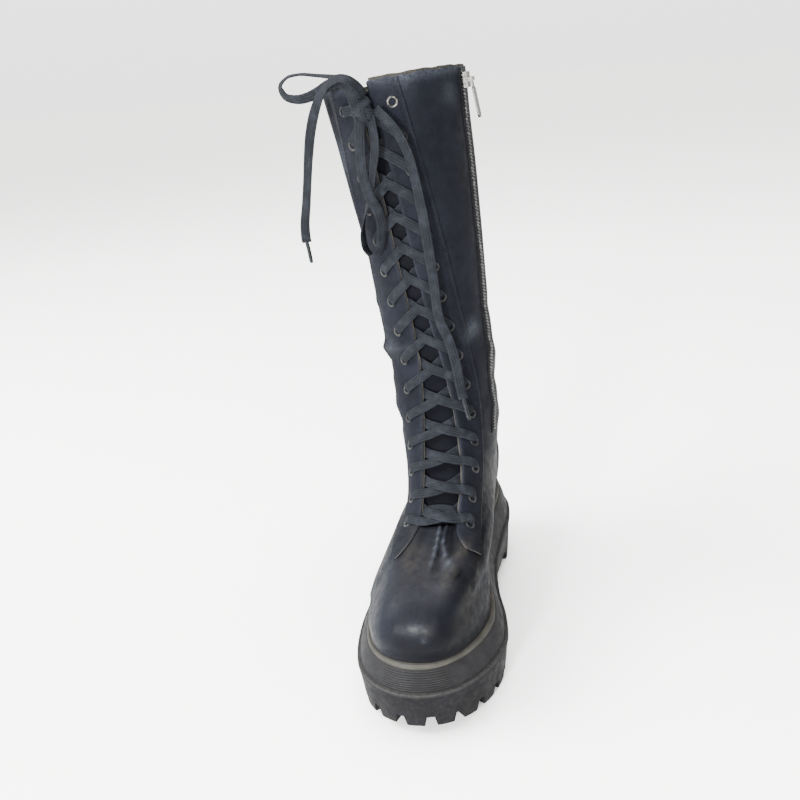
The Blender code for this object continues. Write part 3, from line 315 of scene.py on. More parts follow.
class Skin:
    """Outer face of the upper: a point and an outward direction for each row and place around.

    Rows count the sections of the last. Around runs from 0 at the front, over the medial side,
    to 1 at the front again. Reach is the same in metres, positive on the medial side.
    """

    def __init__(self):
        self.rows = np.linspace(0, TOP_ROW, LATTICE_ROWS)
        field = {
            name: smooth(self.rows, np.arange(len(LAST)), [getattr(row, name) for row in LAST])
            for name in Section._fields
        }
        edge, _ = sole_plan(FEATHER_INSET)
        feather, _ = self.even(np.roll(edge, -(len(edge) // 2), 0))
        self.points = np.zeros((LATTICE_ROWS, LATTICE_COLUMNS, 3))
        self.girth = np.zeros(LATTICE_ROWS)
        for i, row in enumerate(self.rows):
            at = Section(*(field[name][i] for name in Section._fields))
            loop, self.girth[i] = self.even(self.section_plan(at))
            share = max(0, 1 - row / FEATHER_ROWS) ** 2
            plan = feather * share + loop * (1 - share)
            self.points[i, :, :2] = plan
            self.points[i, :, 2] = self.section_height(at, row, plan)
        around_step = np.roll(self.points, -1, 1) - np.roll(self.points, 1, 1)
        self.normals = np.cross(around_step, np.gradient(self.points, axis=0))
        self.normals /= np.linalg.norm(self.normals, axis=2)[..., None]

    @staticmethod
    def section_plan(at):
        """Loop of a section seen from above, from the front over the medial side."""
        turn = np.linspace(0, math.pi, LATTICE_COLUMNS)
        part_way = (1 - np.cos(turn)) / 2
        widths = [at.ball, at.ball, at.waist, at.heel, at.heel]
        half = smooth(part_way, [0, BALL_AT, WAIST_AT, HEEL_AT, 1], widths)
        half = half * np.sin(turn) ** (at.front_round + part_way * (at.back_round - at.front_round))
        axis = smooth(part_way, [0, 0.5, 1], [at.front_x, at.mid_x, at.back_x])
        y = at.front_y + part_way * (at.back_y - at.front_y)
        medial = np.stack([axis + half, y], 1)
        lateral = np.stack([axis - half, y], 1)
        return np.concatenate([medial, lateral[-2:0:-1]]) * MM

    @staticmethod
    def section_height(at, row, plan):
        """Heights round a section. The lowest lies on the sole and the next ones follow it less and less."""
        def line(end):
            """Heights on the straight line between the ends of a section."""
            part_way = (plan[:, 1] / MM - end.front_y) / (end.back_y - end.front_y)
            return (end.front_z + part_way * (end.back_z - end.front_z)) * MM

        seat = sole_height(HEEL_Y - plan[:, 1], "top") + 1.5 * SEAT_GAP
        sag = (seat - line(LAST[0])) * max(0, 1 - row / SAG_ROWS)
        return line(at) + sag + at.tilt * (plan[:, 0] - at.mid_x * MM)

    @staticmethod
    def even(loop):
        """The loop with its points at even distances, and its length."""
        closed = np.vstack([loop, loop[:1]])
        length = run_along(closed)
        places = np.arange(LATTICE_COLUMNS) / LATTICE_COLUMNS * length[-1]
        return np.stack([np.interp(places, length, closed[:, k]) for k in range(2)], 1), length[-1]

    def frame(self, row, around):
        """Points and outward directions at rows and places around. Past the collar they run straight up."""
        row, around = np.broadcast_arrays(np.asarray(row, float), np.asarray(around, float))
        r = np.clip(row / TOP_ROW, 0, 1) * (LATTICE_ROWS - 1)
        i = np.minimum(r.astype(int), LATTICE_ROWS - 2)
        a = (around % 1.0) * LATTICE_COLUMNS
        j = a.astype(int) % LATTICE_COLUMNS
        k = (j + 1) % LATTICE_COLUMNS
        fr = (r - i)[..., None]
        fa = (a - np.floor(a))[..., None]

        def mix(field):
            """Values between the four nearest points of the lattice."""
            low = field[i, j] * (1 - fa) + field[i, k] * fa
            high = field[i + 1, j] * (1 - fa) + field[i + 1, k] * fa
            return low * (1 - fr) + high * fr

        point = mix(self.points)
        point[..., 0] += SHIFT_X
        point[..., 2] += np.maximum(row - TOP_ROW, 0) * ROW_RISE
        normal = mix(self.normals)
        return point, normal / np.linalg.norm(normal, axis=-1)[..., None]

    def at(self, row, around, off=0.0):
        """Points at rows and places around, moved out by off."""
        point, normal = self.frame(row, around)
        return point + normal * np.asarray(off, float)[..., None]

    def around(self, row, reach):
        """Place around that lies at a distance from the front line, positive on the medial side."""
        return np.asarray(reach) / np.interp(row, self.rows, self.girth)

    def across(self, row, reach, off=0.0):
        """Points at rows and distances from the front line, moved out by off."""
        return self.at(row, self.around(row, reach), off)

    def row_at(self, height):
        """Row that has this height on the front line."""
        return float(np.interp(height, self.points[:, 0, 2], self.rows))

    def front_height(self, row):
        """Height of the front line at a row."""
        return np.interp(row, self.rows, self.points[:, 0, 2])


SKIN = Skin()


def girth_at(row):
    """Length round the last at a row."""
    return np.interp(row, SKIN.rows, SKIN.girth)


def throat_at(row, name):
    """Middle or half gap of the throat at a row."""
    return smooth(SKIN.front_height(row), column(THROAT, "height"), column(THROAT, name))


def facing_inner(row, side):
    """Inner edge of a facing: the throat's edge, and below it the edge of the tab."""
    if row < THROAT_ROW:
        return float(np.interp(row, rows_of(FACING_TAB), column(FACING_TAB, side)))
    return float(throat_at(row, "half_gap") + SIGN[side] * throat_at(row, "middle"))


def facing_seam(row, side):
    """Back seam of a facing."""
    return smooth(row, rows_of(FACING_SEAM), column(FACING_SEAM, side))


def zip_around(row):
    """Place of the zip around the shaft."""
    return np.interp(row, rows_of(ZIP), [line.around for line in ZIP])


def eyelet_rows():
    """Rows of the eyelet pairs, at even distances down the front line."""
    rows = np.linspace(EYELET_LOW_ROW, TOP_ROW, 200)
    line = SKIN.at(rows, 0.0)
    length = run_along(line)
    top = np.interp(SKIN.row_at(EYELET_TOP_HEIGHT), rows, length)
    return np.interp(np.linspace(top, 0, EYELET_PAIRS), length, rows)


def eyelet_reach(row, side):
    """Distance of an eyelet from the front line."""
    return facing_inner(row, side) + EYELET_FROM_EDGE


def on_boot(table):
    """Route of a free lace on the boot."""
    return np.array([SKIN.across(p.row, p.reach * MM, p.off * MM) for p in table])


def in_air(table):
    """Route of a free lace beside the boot."""
    return np.array(table) * MM


def even_route(points, step):
    """Points at even distances on a smooth curve through a route."""
    length = run_along(points)
    fine = np.linspace(0, length[-1], 400)
    curve = np.stack([smooth(fine, length, points[:, k]) for k in range(3)], 1)
    run = run_along(curve)
    places = np.linspace(0, run[-1], max(2, round(run[-1] / step) + 1))
    return np.stack([np.interp(places, run, curve[:, k]) for k in range(3)], 1)


def first_crossing(start, direction, outline):
    """Where a ray in plan first meets a closed outline."""
    tail = np.roll(outline, -1, 0) - outline
    gap = outline - start
    det = direction[0] * tail[:, 1] - direction[1] * tail[:, 0]
    along = (gap[:, 0] * tail[:, 1] - gap[:, 1] * tail[:, 0]) / det
    share = (gap[:, 0] * direction[1] - gap[:, 1] * direction[0]) / det
    return start + direction * along[(share >= 0) & (share <= 1) & (along > 0)].min()


def feather_line(around):
    """Foot of the upper, and level directions out of it whose length allows for the slope of its wall."""
    foot, normal = SKIN.frame(0.0, around)
    level = np.hypot(normal[:, 0], normal[:, 1])
    outward = np.column_stack([normal[:, :2] / (level**2)[:, None], np.zeros(len(foot))])
    return foot, outward


# Colours, as sRGB hex
INK = "090a0e"
LEATHER = "0d0e13"
LEATHER_LIGHT = "17191f"
LEATHER_WORN = "33363d"
RAW_EDGE = "403e3a"
DIRT = "272521"
DUST = "2f2f2e"
RUBBER = "0a0a0c"
RUBBER_LIGHT = "0f0f12"
LACE = "14161a"
LACE_LIGHT = "1d1f24"
CANVAS = "35342e"
LINING = "171513"
NICKEL = "565552"
ENAMEL = "08080a"
THREAD = "14161a"
FLOOR = "f9f9f7"


# Distance between the ribs of a wave texture at scale 1, in millimetres
WAVE_PERIOD = 314.16


def colour(code):
    """Linear colour from an sRGB hex code."""
    srgb = [int(code[i : i + 2], 16) / 255 for i in (0, 2, 4)]
    return (*(v / 12.92 if v <= 0.04045 else ((v + 0.055) / 1.055) ** 2.4 for v in srgb), 1.0)


def add(tree, kind, settings, inputs):
    """Adds a node, with its settings, and values or links for its inputs."""
    made = tree.nodes.new(kind)
    for name, value in settings.items():
        setattr(made, name, value)
    for name, value in inputs.items():
        if isinstance(value, bpy.types.NodeSocket):
            tree.links.new(value, made.inputs[name])
        else:
            made.inputs[name].default_value = value
    return made


class Look:
    """A procedural material in the making, with short ways to add its nodes."""

    def __init__(self, name, roughness, metallic=0.0, specular=0.5):
        self.material = bpy.data.materials.new(name)
        self.material.use_nodes = True
        self.tree = self.material.node_tree
        self.shader = self.tree.nodes["Principled BSDF"]
        self.shader.inputs["Roughness"].default_value = roughness
        self.shader.inputs["Metallic"].default_value = metallic
        self.shader.inputs["Specular IOR Level"].default_value = specular
        self.place = add(self.tree, "ShaderNodeTexCoord", {}, {}).outputs["Object"]

    def attribute(self, name):
        """A value painted on the mesh by its maker."""
        return add(self.tree, "ShaderNodeAttribute", {"attribute_name": name}, {}).outputs["Fac"]

    def along(self):
        """Place on a strip: X along it and Y across it, in metres."""
        return add(self.tree, "ShaderNodeTexCoord", {}, {}).outputs["UV"]

    def stretch(self, place, scale):
        """A place with its axes scaled."""
        return add(self.tree, "ShaderNodeMapping", {}, {"Vector": place, "Scale": scale}).outputs["Vector"]

    def noise(self, size_mm, detail=4, rough=0.55, place=None):
        """Soft noise whose features are about size_mm across."""
        inputs = {"Vector": place or self.place, "Scale": 1000 / size_mm}
        inputs.update({"Detail": detail, "Roughness": rough})
        return add(self.tree, "ShaderNodeTexNoise", {}, inputs).outputs["Fac"]

    def cells(self, size_mm):
        """Cell pattern with cells about size_mm across."""
        settings = {"feature": "DISTANCE_TO_EDGE"}
        inputs = {"Vector": self.place, "Scale": 1000 / size_mm}
        return add(self.tree, "ShaderNodeTexVoronoi", settings, inputs).outputs["Distance"]

    def wave(self, size_mm, place, axis="X", distort=0.0):
        """Regular ribs size_mm apart."""
        settings = {"wave_type": "BANDS", "bands_direction": axis, "wave_profile": "SIN"}
        inputs = {"Vector": place, "Scale": WAVE_PERIOD / size_mm, "Distortion": distort}
        return add(self.tree, "ShaderNodeTexWave", settings, inputs).outputs["Fac"]

    def ramp(self, value, low, high, to_low=0.0, to_high=1.0):
        """Maps low..high to another range, smoothly and within its ends."""
        inputs = {"Value": value, "From Min": low, "From Max": high, "To Min": to_low, "To Max": to_high}
        settings = {"interpolation_type": "SMOOTHSTEP"}
        return add(self.tree, "ShaderNodeMapRange", settings, inputs).outputs["Result"]

    def math(self, operation, a, b):
        """One sum on two values."""
        settings = {"operation": operation, "use_clamp": True}
        return add(self.tree, "ShaderNodeMath", settings, {0: a, 1: b}).outputs[0]

    def painted(self, name, size_mm, low, high, least):
        """A painted value broken up by noise, which leaves at least a share of it."""
        patches = self.ramp(self.noise(size_mm, 6, 0.7), low, high, least, 1.0)
        return self.math("MULTIPLY", self.attribute(name), patches)

    def mix(self, share, a, b):
        """Blend of two colours."""
        inputs = {"Factor": share, 6: a, 7: b}
        return add(self.tree, "ShaderNodeMix", {"data_type": "RGBA"}, inputs).outputs[2]

    def bump(self, height, depth_mm, strength=1.0, after=None):
        """Relief of about depth_mm, over an earlier one."""
        inputs = {"Height": height, "Distance": depth_mm * MM, "Strength": strength}
        if after:
            inputs["Normal"] = after
        return add(self.tree, "ShaderNodeBump", {}, inputs).outputs["Normal"]

    def wire(self, **sockets):
        """Links values to the shader's sockets, and gives the finished material."""
        for name, value in sockets.items():
            self.tree.links.new(value, self.shader.inputs[name.replace("_", " ")])
        return self.material


def leather_look(name, base, light, gloss):
    """Waxed black leather: fine pores, paler rubbed ridges, and brown dirt where it was trodden."""
    look = Look(name, gloss, specular=0.03)
    broad = look.ramp(look.noise(38, 3), 0.35, 0.7)
    cloud = look.ramp(look.noise(9, 5, 0.65), 0.42, 0.75)
    tone = look.mix(broad, colour(INK), colour(base))
    tone = look.mix(look.math("MULTIPLY", cloud, 0.22), tone, colour(light))
    worn = look.painted("wear", 2.4, 0.25, 0.65, 0.25)
    tone = look.mix(worn, tone, colour(LEATHER_WORN))
    scratch_place = look.stretch(look.place, (1.0, 0.18, 0.35))
    scratch = look.ramp(look.noise(1.6, 6, 0.75, scratch_place), 0.66, 0.8, 0.0, 0.08)
    tone = look.mix(scratch, tone, colour(LEATHER_WORN))
    soiled = look.painted("dirt", 5, 0.3, 0.62, 0.15)
    tone = look.mix(soiled, tone, colour(DIRT))
    tone = look.mix(look.math("MULTIPLY", look.attribute("shade"), 0.85), tone, colour("050507"))
    rough = look.ramp(look.noise(6, 5, 0.6), 0.3, 0.7, gloss - 0.06, gloss + 0.1)
    rough = look.math("ADD", rough, look.math("MULTIPLY", soiled, 0.35))
    rough = look.math("ADD", rough, look.math("MULTIPLY", look.attribute("dry"), 0.28))
    pores = look.bump(look.cells(1.1), 0.10, 0.35)
    fine = look.bump(look.noise(0.5, 4, 0.6), 0.05, 0.4, pores)
    soft = look.bump(look.noise(4.5, 4, 0.5), 0.35, 0.35, fine)
    return look.wire(Base_Color=tone, Roughness=rough, Normal=soft)


def edge_look():
    """Cut edge of leather: pale, fibrous and dusty."""
    look = Look("raw_leather_edge", 0.85, specular=0.1)
    fibre = look.ramp(look.noise(1.2, 6, 0.7), 0.3, 0.7)
    tone = look.mix(fibre, colour("262523"), colour(RAW_EDGE))
    return look.wire(Base_Color=tone, Normal=look.bump(fibre, 0.2, 0.5))


def lining_look(name, base, light):
    """Coarse canvas: crossed threads with a slightly paler crown."""
    look = Look(name, 0.95, specular=0.15)
    warp = look.noise(0.9, 2, 0.5, look.stretch(look.place, (1, 1, 0.15)))
    weft = look.noise(0.9, 2, 0.5, look.stretch(look.place, (0.15, 0.15, 1)))
    weave = look.math("MULTIPLY", look.math("ADD", warp, weft), 0.5)
    tone = look.mix(look.ramp(weave, 0.35, 0.65), colour(base), colour(light))
    return look.wire(Base_Color=tone, Normal=look.bump(weave, 0.3, 0.6))


def rubber_look(name, base, light, dust):
    """Moulded rubber: even grey, a fine matt skin, dry dust in its corners and paler scuffs on its edges."""
    look = Look(name, 0.7, specular=0.045)
    cloud = look.ramp(look.noise(14, 5, 0.6), 0.35, 0.7)
    tone = look.mix(cloud, colour(base), colour(light))
    powder = look.math("MULTIPLY", look.ramp(look.noise(3.2, 6, 0.7), 0.45, 0.75), dust)
    tone = look.mix(powder, tone, colour(DUST))
    # Paler where the wear value is high: scuffs, and on the midsole's rib crowns a painted highlight
    worn = look.painted("wear", 2.0, 0.3, 0.6, 0.3)
    tone = look.mix(worn, tone, colour(DUST))
    soiled = look.painted("dirt", 3, 0.25, 0.6, 0.3)
    tone = look.mix(soiled, tone, colour(DIRT))
    tone = look.mix(look.math("MULTIPLY", look.attribute("shade"), 0.8), tone, colour("0a0a0a"))
    rough = look.ramp(look.noise(7, 4), 0.3, 0.7, 0.62, 0.82)
    skin = look.bump(look.noise(0.7, 5, 0.65), 0.06, 0.5)
    scuff = look.bump(look.noise(3.5, 5, 0.6, look.stretch(look.place, (1, 1, 0.3))), 0.15, 0.3, skin)
    return look.wire(Base_Color=tone, Roughness=rough, Normal=scuff)


# Slant of the strands in the lace's braid, in radians
STRAND_SLANT = 0.72


def lace_look():
    """Flat braid: slanting strands that cross in the middle, dull black gone grey."""
    look = Look("flat_braid", 0.85, specular=0.06)
    strip = look.along()
    waves = []
    for slant in (STRAND_SLANT, -STRAND_SLANT):
        turned = add(look.tree, "ShaderNodeMapping", {}, {"Vector": strip, "Rotation": (0, 0, slant)})
        waves.append(look.wave(1.5, turned.outputs["Vector"]))
    left, right = waves
    ribs = look.wave(2.0, strip, "Y")
    braid = look.math("MULTIPLY", look.math("MAXIMUM", left, right), look.ramp(ribs, 0.0, 0.5, 0.45, 1.0))
    tone = look.mix(look.ramp(braid, 0.25, 0.95), colour("07080a"), colour(LACE))
    tone = look.mix(look.ramp(look.noise(7, 4), 0.4, 0.75, 0.0, 0.55), tone, colour(LACE_LIGHT))
    fuzz = look.bump(look.noise(0.35, 3), 0.06, 0.4)
    return look.wire(Base_Color=tone, Normal=look.bump(braid, 0.22, 0.6, fuzz))


def metal_look(name, base, roughness):
    """Plated metal with fine scratches and dull specks."""
    look = Look(name, roughness, metallic=1.0)
    speck = look.ramp(look.noise(1.5, 6, 0.7), 0.5, 0.75)
    tone = look.mix(speck, colour(base), colour("6d6b66"))
    rough = look.ramp(look.noise(2.5, 5), 0.3, 0.7, roughness - 0.08, roughness + 0.2)
    return look.wire(Base_Color=tone, Roughness=rough, Normal=look.bump(look.noise(0.6, 4), 0.03, 0.4))


def enamel_look():
    """Black enamel on metal, rubbed through to bright metal on the crown of each ring."""
    look = Look("worn_black_enamel", 0.4, specular=0.12)
    bare = look.math("MULTIPLY", look.attribute("wear"), look.ramp(look.noise(1.3, 5, 0.6), 0.35, 0.6))
    tone = look.mix(bare, colour(ENAMEL), colour("66655f"))
    return look.wire(Base_Color=tone, Metallic=bare)


def plain_look(name, base, light, roughness):
    """Thread, tape and other small plain goods, with a little unevenness."""
    look = Look(name, roughness, specular=0.06)
    tone = look.mix(look.ramp(look.noise(1.8, 4), 0.35, 0.7), colour(base), colour(light))
    return look.wire(Base_Color=tone, Normal=look.bump(look.noise(0.5, 3), 0.05, 0.5))


LOOKS = {}


def make_looks():
    """Makes every material once, by the short name its pieces use."""
    LOOKS["leather"] = leather_look("waxed_leather", LEATHER, LEATHER_LIGHT, 0.32)
    LOOKS["facing"] = leather_look("dry_leather", "0f1016", "1a1b21", 0.46)
    # The tongue's leather is darker than the upper's: painted shade for the tongue sunk behind the lace
    LOOKS["tongue"] = leather_look("tongue_leather", "08090c", "101115", 0.55)
    LOOKS["edge"] = edge_look()
    LOOKS["lining"] = lining_look("dark_lining", "0c0b0a", LINING)
    LOOKS["canvas"] = lining_look("collar_canvas", "211f1b", CANVAS)
    LOOKS["outsole"] = rubber_look("outsole_rubber", RUBBER, RUBBER_LIGHT, 0.2)
    LOOKS["midsole"] = rubber_look("midsole_rubber", "151517", "1c1c1d", 0.18)
    LOOKS["welt"] = rubber_look("welt_rubber", "242320", "3a3833", 0.5)
    LOOKS["lace"] = lace_look()
    LOOKS["nickel"] = metal_look("nickel_plate", NICKEL, 0.28)
    LOOKS["teeth"] = metal_look("zip_teeth", "232325", 0.42)
    LOOKS["enamel"] = enamel_look()
    LOOKS["thread"] = plain_look("stitching_thread", "0a0b0d", THREAD, 0.8)
    LOOKS["tape"] = plain_look("zip_tape", "09090b", "121214", 0.9)
    LOOKS["aglet"] = plain_look("aglet_film", "101114", "1a1c1f", 0.4)
    # Near-black disc of painted shadow that closes each eyelet's hole
    LOOKS["hole"] = plain_look("eyelet_shadow", "020202", "040404", 0.95)


# Folds of the worn leather, each a soft ridge or trough between two places on the upper.
# Rows count sections, reach is from the front line (medial positive), the rest is in millimetres.
Fold = namedtuple("Fold", "row_a reach_a row_b reach_b width depth")
FOLDS = make_table(
    Fold,
    # Pinch above the toe, which splays into two ridges
    (6.5, 3.4, 5.4, 3.0, 1.7, 1.7), (5.4, 3.0, 4.5, 1.6, 2.2, 1.4), (6.5, 8.0, 5.7, 7.2, 1.5, 1.5),
    (5.7, 7.2, 5.1, 11, 1.9, 1.5), (5.1, 11, 4.25, 21, 3.2, 1.1), (6.5, 5.6, 5.2, 5.8, 1.3, -1.5),
    (5.2, 5.8, 4.6, 8, 2.6, -1.2), (6.2, 15, 5.2, 19, 5, -1.9), (6.2, -8, 4.9, -14, 6, -1.2),
    # Crease across the inner side of the vamp
    (4.2, 8, 3.9, 30, 2.0, -1.2), (3.9, 30, 2.7, 58, 2.2, -1.6), (4.5, 22, 3.2, 58, 4.0, 1.1),
    (3.5, -30, 2.5, -62, 5, -0.6),
    # Bend of the ankle on the outer side
    (11.3, -9, 11.15, -60, 4.2, 1.7), (10.98, -12, 10.82, -62, 3.4, -1.4),
    (11.15, -52, 11.0, -96, 7, 1.8), (10.65, -50, 10.3, -110, 6, -1.6), (9.75, -44, 9.3, -92, 7, 1.7),
    (9.2, -46, 8.7, -84, 5, -1.2), (12.15, -30, 12.05, -52, 4, 0.8),
    # Bend of the ankle on the inner side
    (10.9, 60, 10.2, 112, 7, 1.4), (10.2, 66, 9.4, 120, 6, -1.5), (9.5, 58, 8.6, 104, 7, 1.2),
    (11.7, 70, 11.3, 120, 8, -0.9),
    # Back of the ankle
    (10.8, 130, 10.7, 200, 8, -1.6), (10.1, 126, 10.0, 204, 7, 1.3), (9.5, 130, 9.4, 210, 7, -1.4),
    (12.0, 140, 11.8, 190, 9, -0.9),
    # Soft upright folds below the collar
    (15.2, -50, 13.4, -47, 3, -1.3), (15.2, -56, 13.2, -54, 3, 1.2), (14.2, -42, 12.9, -44, 3, 1.0),
    (15.2, 40, 14.2, 44, 7, -0.7), (14.4, 78, 12.8, 70, 9, -0.9), (14.9, 110, 13.2, 120, 10, 0.9),
    (14.6, -100, 12.6, -92, 10, -0.9),
)

# Marks: place, size and strength
Mark = namedtuple("Mark", "row reach size amount")
DIRT_MARKS = make_table(
    Mark,
    (4.3, -8, 26, 0.18), (4.4, 24, 24, 0.15), (5.0, 24, 8, 0.4), (4.8, 35, 7, 0.45), (4.1, 19, 9, 0.3),
    (4.75, -18, 10, 0.4), (5.35, -11, 7, 0.3), (5.9, -20, 6, 0.3), (2.6, -60, 14, 0.15),
    (3.6, 52, 9, 0.2), (1.4, 120, 26, 0.35), (1.2, -130, 26, 0.3), (0.8, 250, 30, 0.35),
    (0.9, 300, 30, 0.3),
)
WEAR_MARKS = make_table(
    Mark,
    (1.52, 9.5, 2.2, 0.7), (2.05, 2.5, 5, 0.25), (3.95, 14, 6, 0.25), (6.2, 3.4, 1.8, 0.6),
    (5.85, 3.2, 1.8, 0.6), (5.5, 3, 1.8, 0.6), (5.15, 2.7, 1.9, 0.55), (4.8, 2, 2.2, 0.4),
    (5.8, 7.3, 1.6, 0.5), (5.4, 9, 1.8, 0.5), (5.1, 11, 2.2, 0.4), (4.75, 15, 2.6, 0.35),
    (4.7, 15, 5, 0.35), (11.42, 43, 7, 0.55), (11.3, 33, 6, 0.3), (11.28, -34, 9, 0.35),
    (14.95, 20, 10, 0.3), (14.7, 60, 9, 0.3), (14.2, -48, 14, 0.35), (12.2, -56, 22, 0.3),
    (9.0, -52, 22, 0.3), (3.2, -45, 24, 0.2), (1.2, -36, 20, 0.15),
)
SHADE_MARKS = make_table(
    Mark,
    (0.8, 0, 22, 0.6), (0.8, 26, 18, 0.6), (5.6, 66, 20, 0.5), (7.0, 66, 22, 0.5), (1.4, 46, 18, 0.7),
    (2.2, 58, 18, 0.8), (3.2, 66, 18, 0.8), (4.2, 66, 18, 0.6), (6.2, 14, 6, 0.5), (6.2, -9, 6, 0.5),
    (3.9, 30, 7, 0.3), (2.2, 14, 12, 0.2),
)

# Seam of the quarter over the vamp, and edge of the heel counter
QUARTER_SEAM = make_table(FacingLine, (0, 112, 96), (1.2, 100, 82), (2.6, 83, 64), (3.6, 69, 52))
QUARTER_STEP = 0.9 * MM
Counter = namedtuple("Counter", "row spread")
COUNTER = make_table(Counter, (0, 0.19), (2, 0.18), (3.6, 0.155), (5, 0.115), (5.8, 0.075), (6.4, 0))
COUNTER_STEP = 0.8 * MM

# Row of the tip of each facing's tab, and the rows over which it narrows to a point
TAB_TIP = {"medial": 3.6, "lateral": 3.95}
TAB_TAPER = {"medial": 1.3, "lateral": 0.2}

# Groove under the facings' stitches, as a distance from the back seam in millimetres
FACING_GROOVE = 3.4

# Half width of the tongue's ripples
TONGUE_RIPPLE = 12 * MM

# Rows of the collar's canvas, and the row above which the leather at the collar is ragged
COLLAR_ROWS = (14.55, 14.8, 14.95, 15.0, 15.012)
RAGGED_ROW = 14.9

# Columns of the leather's grids
THROAT_COLUMNS = 26
UPPER_COLUMNS = 150
FACING_COLUMNS = 19
TONGUE_COLUMNS = 25
COLLAR_COLUMNS = 260

# Stitches: their pitch and length, and how far the thread stands from its line at the middle and ends
STITCH_PITCH = 3.0 * MM
STITCH_LENGTH = 2.2 * MM
THREAD_HALF_WIDTH = 0.42 * MM
THREAD_RISE = 0.32 * MM
THREAD_BELOW = 0.2 * MM
THREAD_END_BELOW = 0.15 * MM

# Lines of thread: distance between their points, and distances from the edges that they follow
STITCH_STEP = 2 * MM
SEAM_INSETS = (2.2 * MM, 4.6 * MM)
EDGE_INSET = 2.6 * MM
QUARTER_INSETS = (3.0 * MM, 5.4 * MM)
COUNTER_INSET = 3.2 * MM
ZIP_INSET = 4.2 * MM


def front_length(row):
    """Distance along the front line from the feather line to a row, in millimetres."""
    return np.interp(row, SKIN.rows, run_along(SKIN.points[:, 0])) / MM


def reach_of(row, around):
    """Distance from the front line in millimetres, positive on the medial side."""
    half = (np.asarray(around) + 0.5) % 1.0 - 0.5
    return half * girth_at(row) / MM


def marks(row, reach, table):
    """Strength of soft marks at places on the upper."""
    up = front_length(row)
    total = np.zeros(np.broadcast(row, reach).shape)
    for mark in table:
        far = (reach - mark.reach) ** 2 + (up - front_length(mark.row)) ** 2
        total = total + mark.amount * np.exp(-far / mark.size**2)
    return np.clip(total, 0, 1)


def soft_step(x):
    """Smooth rise from 0 to 1."""
    x = np.clip(x, 0, 1)
    return x * x * (3 - 2 * x)


def counter_spread(row):
    """Half width of the heel counter, as a share of the way round."""
    return smooth(row, rows_of(COUNTER), [line.spread for line in COUNTER])


def counter_depth(row, around):
    """Distance inside the heel counter's edge, in millimetres."""
    spread = np.where(np.asarray(row) < COUNTER[-1].row, counter_spread(row), 0)
    inside = spread - np.abs(np.asarray(around) % 1.0 - 0.5)
    return inside * girth_at(row) / MM


def folds(row, reach):
    """Height of the folds and of the soft unevenness of worn leather, in millimetres."""
    up = front_length(row)
    total = np.zeros(row.shape)
    for fold in FOLDS:
        a = np.array([fold.reach_a, front_length(fold.row_a)])
        b = np.array([fold.reach_b, front_length(fold.row_b)])
        way = b - a
        share = ((reach - a[0]) * way[0] + (up - a[1]) * way[1]) / (way @ way)
        near = np.clip(share, 0, 1)
        far = (reach - a[0] - near * way[0]) ** 2 + (up - a[1] - near * way[1]) ** 2
        total += fold.depth * np.exp(-far / fold.width**2)
    wave = np.sin(reach / 17 + up / 29) * np.sin(up / 23 - reach / 41)
    wave = wave + 0.6 * np.sin(reach / 8.3 - up / 13 + 1)
    return total + 0.16 * wave * soft_step((row - 7) / 3)


def past_seam(row, reach, side, sign):
    """Distance behind the quarter's front edge on one side, in millimetres."""
    seam = np.interp(row, rows_of(QUARTER_SEAM), [getattr(line, side) for line in QUARTER_SEAM])
    return sign * reach - seam


def relief(row, around):
    """How far the worn leather stands out of the last's smooth face."""
    row, around = np.broadcast_arrays(np.asarray(row, float), np.asarray(around, float))
    reach = reach_of(row, around)
    total = folds(row, reach) * MM
    for side, sign in SIGN.items():
        behind = soft_step(past_seam(row, reach, side, sign) / 1.3) * (sign * reach > 0)
        total += QUARTER_STEP * behind * soft_step((5.0 - row) / 1.2)
    total += COUNTER_STEP * soft_step(counter_depth(row, around) / 1.3)
    return total * soft_step(row / 0.25 + 0.15)


def surface(row, around, off=0.0):
    """Points on the worn leather, moved out by off."""
    row, around = np.broadcast_arrays(np.asarray(row, float), np.asarray(around, float))
    return SKIN.at(row, around, relief(row, around) + off)


def surface_normal(row, around):
    """Outward direction of the last at places on it."""
    return SKIN.frame(row, around)[1]


def even_rows(low, high, step, stop=()):
    """Rows about step apart on the front line, with the stops among them."""
    lengths = front_length(np.array([low, high]))
    count = max(2, round((lengths[1] - lengths[0]) * MM / step))
    fine = np.linspace(low, high, 800)
    rows = np.interp(np.linspace(*lengths, count + 1), front_length(fine), fine)
    for row in stop:
        rows[np.abs(rows - row).argmin()] = row
    return rows


def paint(mesh, name, values):
    """Stores one value for each vertex for the material to read."""
    layer = mesh.attributes.new(name, "FLOAT", "POINT")
    layer.data.foreach_set("value", np.asarray(values, np.float32).ravel())


def piece(name, verts, faces, looks, painted=None, uv=None):
    """Mesh object with smooth faces, its materials, painted values and strip coordinates."""
    mesh = bpy.data.meshes.new(name)
    mesh.from_pydata(np.asarray(verts).reshape(-1, 3).tolist(), [], faces)
    mesh.polygons.foreach_set("use_smooth", [True] * len(mesh.polygons))
    for look in looks:
        mesh.materials.append(LOOKS[look])
    for layer, values in (painted or {}).items():
        paint(mesh, layer, values)
    if uv is not None:
        layer = mesh.uv_layers.new(name="strip")
        corners = np.array([loop.vertex_index for loop in mesh.loops])
        layer.data.foreach_set("uv", np.asarray(uv, np.float32).reshape(-1, 2)[corners].ravel())
    obj = bpy.data.objects.new(name, mesh)
    bpy.context.scene.collection.objects.link(obj)
    return obj


def grid_faces(rows, columns, closed=False, keep=None):
    """Corners of the faces between rows of points."""
    faces = []
    for r in range(rows - 1):
        for c in range(0 if closed else 1, columns):
            if keep is None or keep(r, c):
                low, high = r * columns, (r + 1) * columns
                before = (c - 1) % columns
                faces.append((low + before, low + c, high + c, high + before))
    return faces


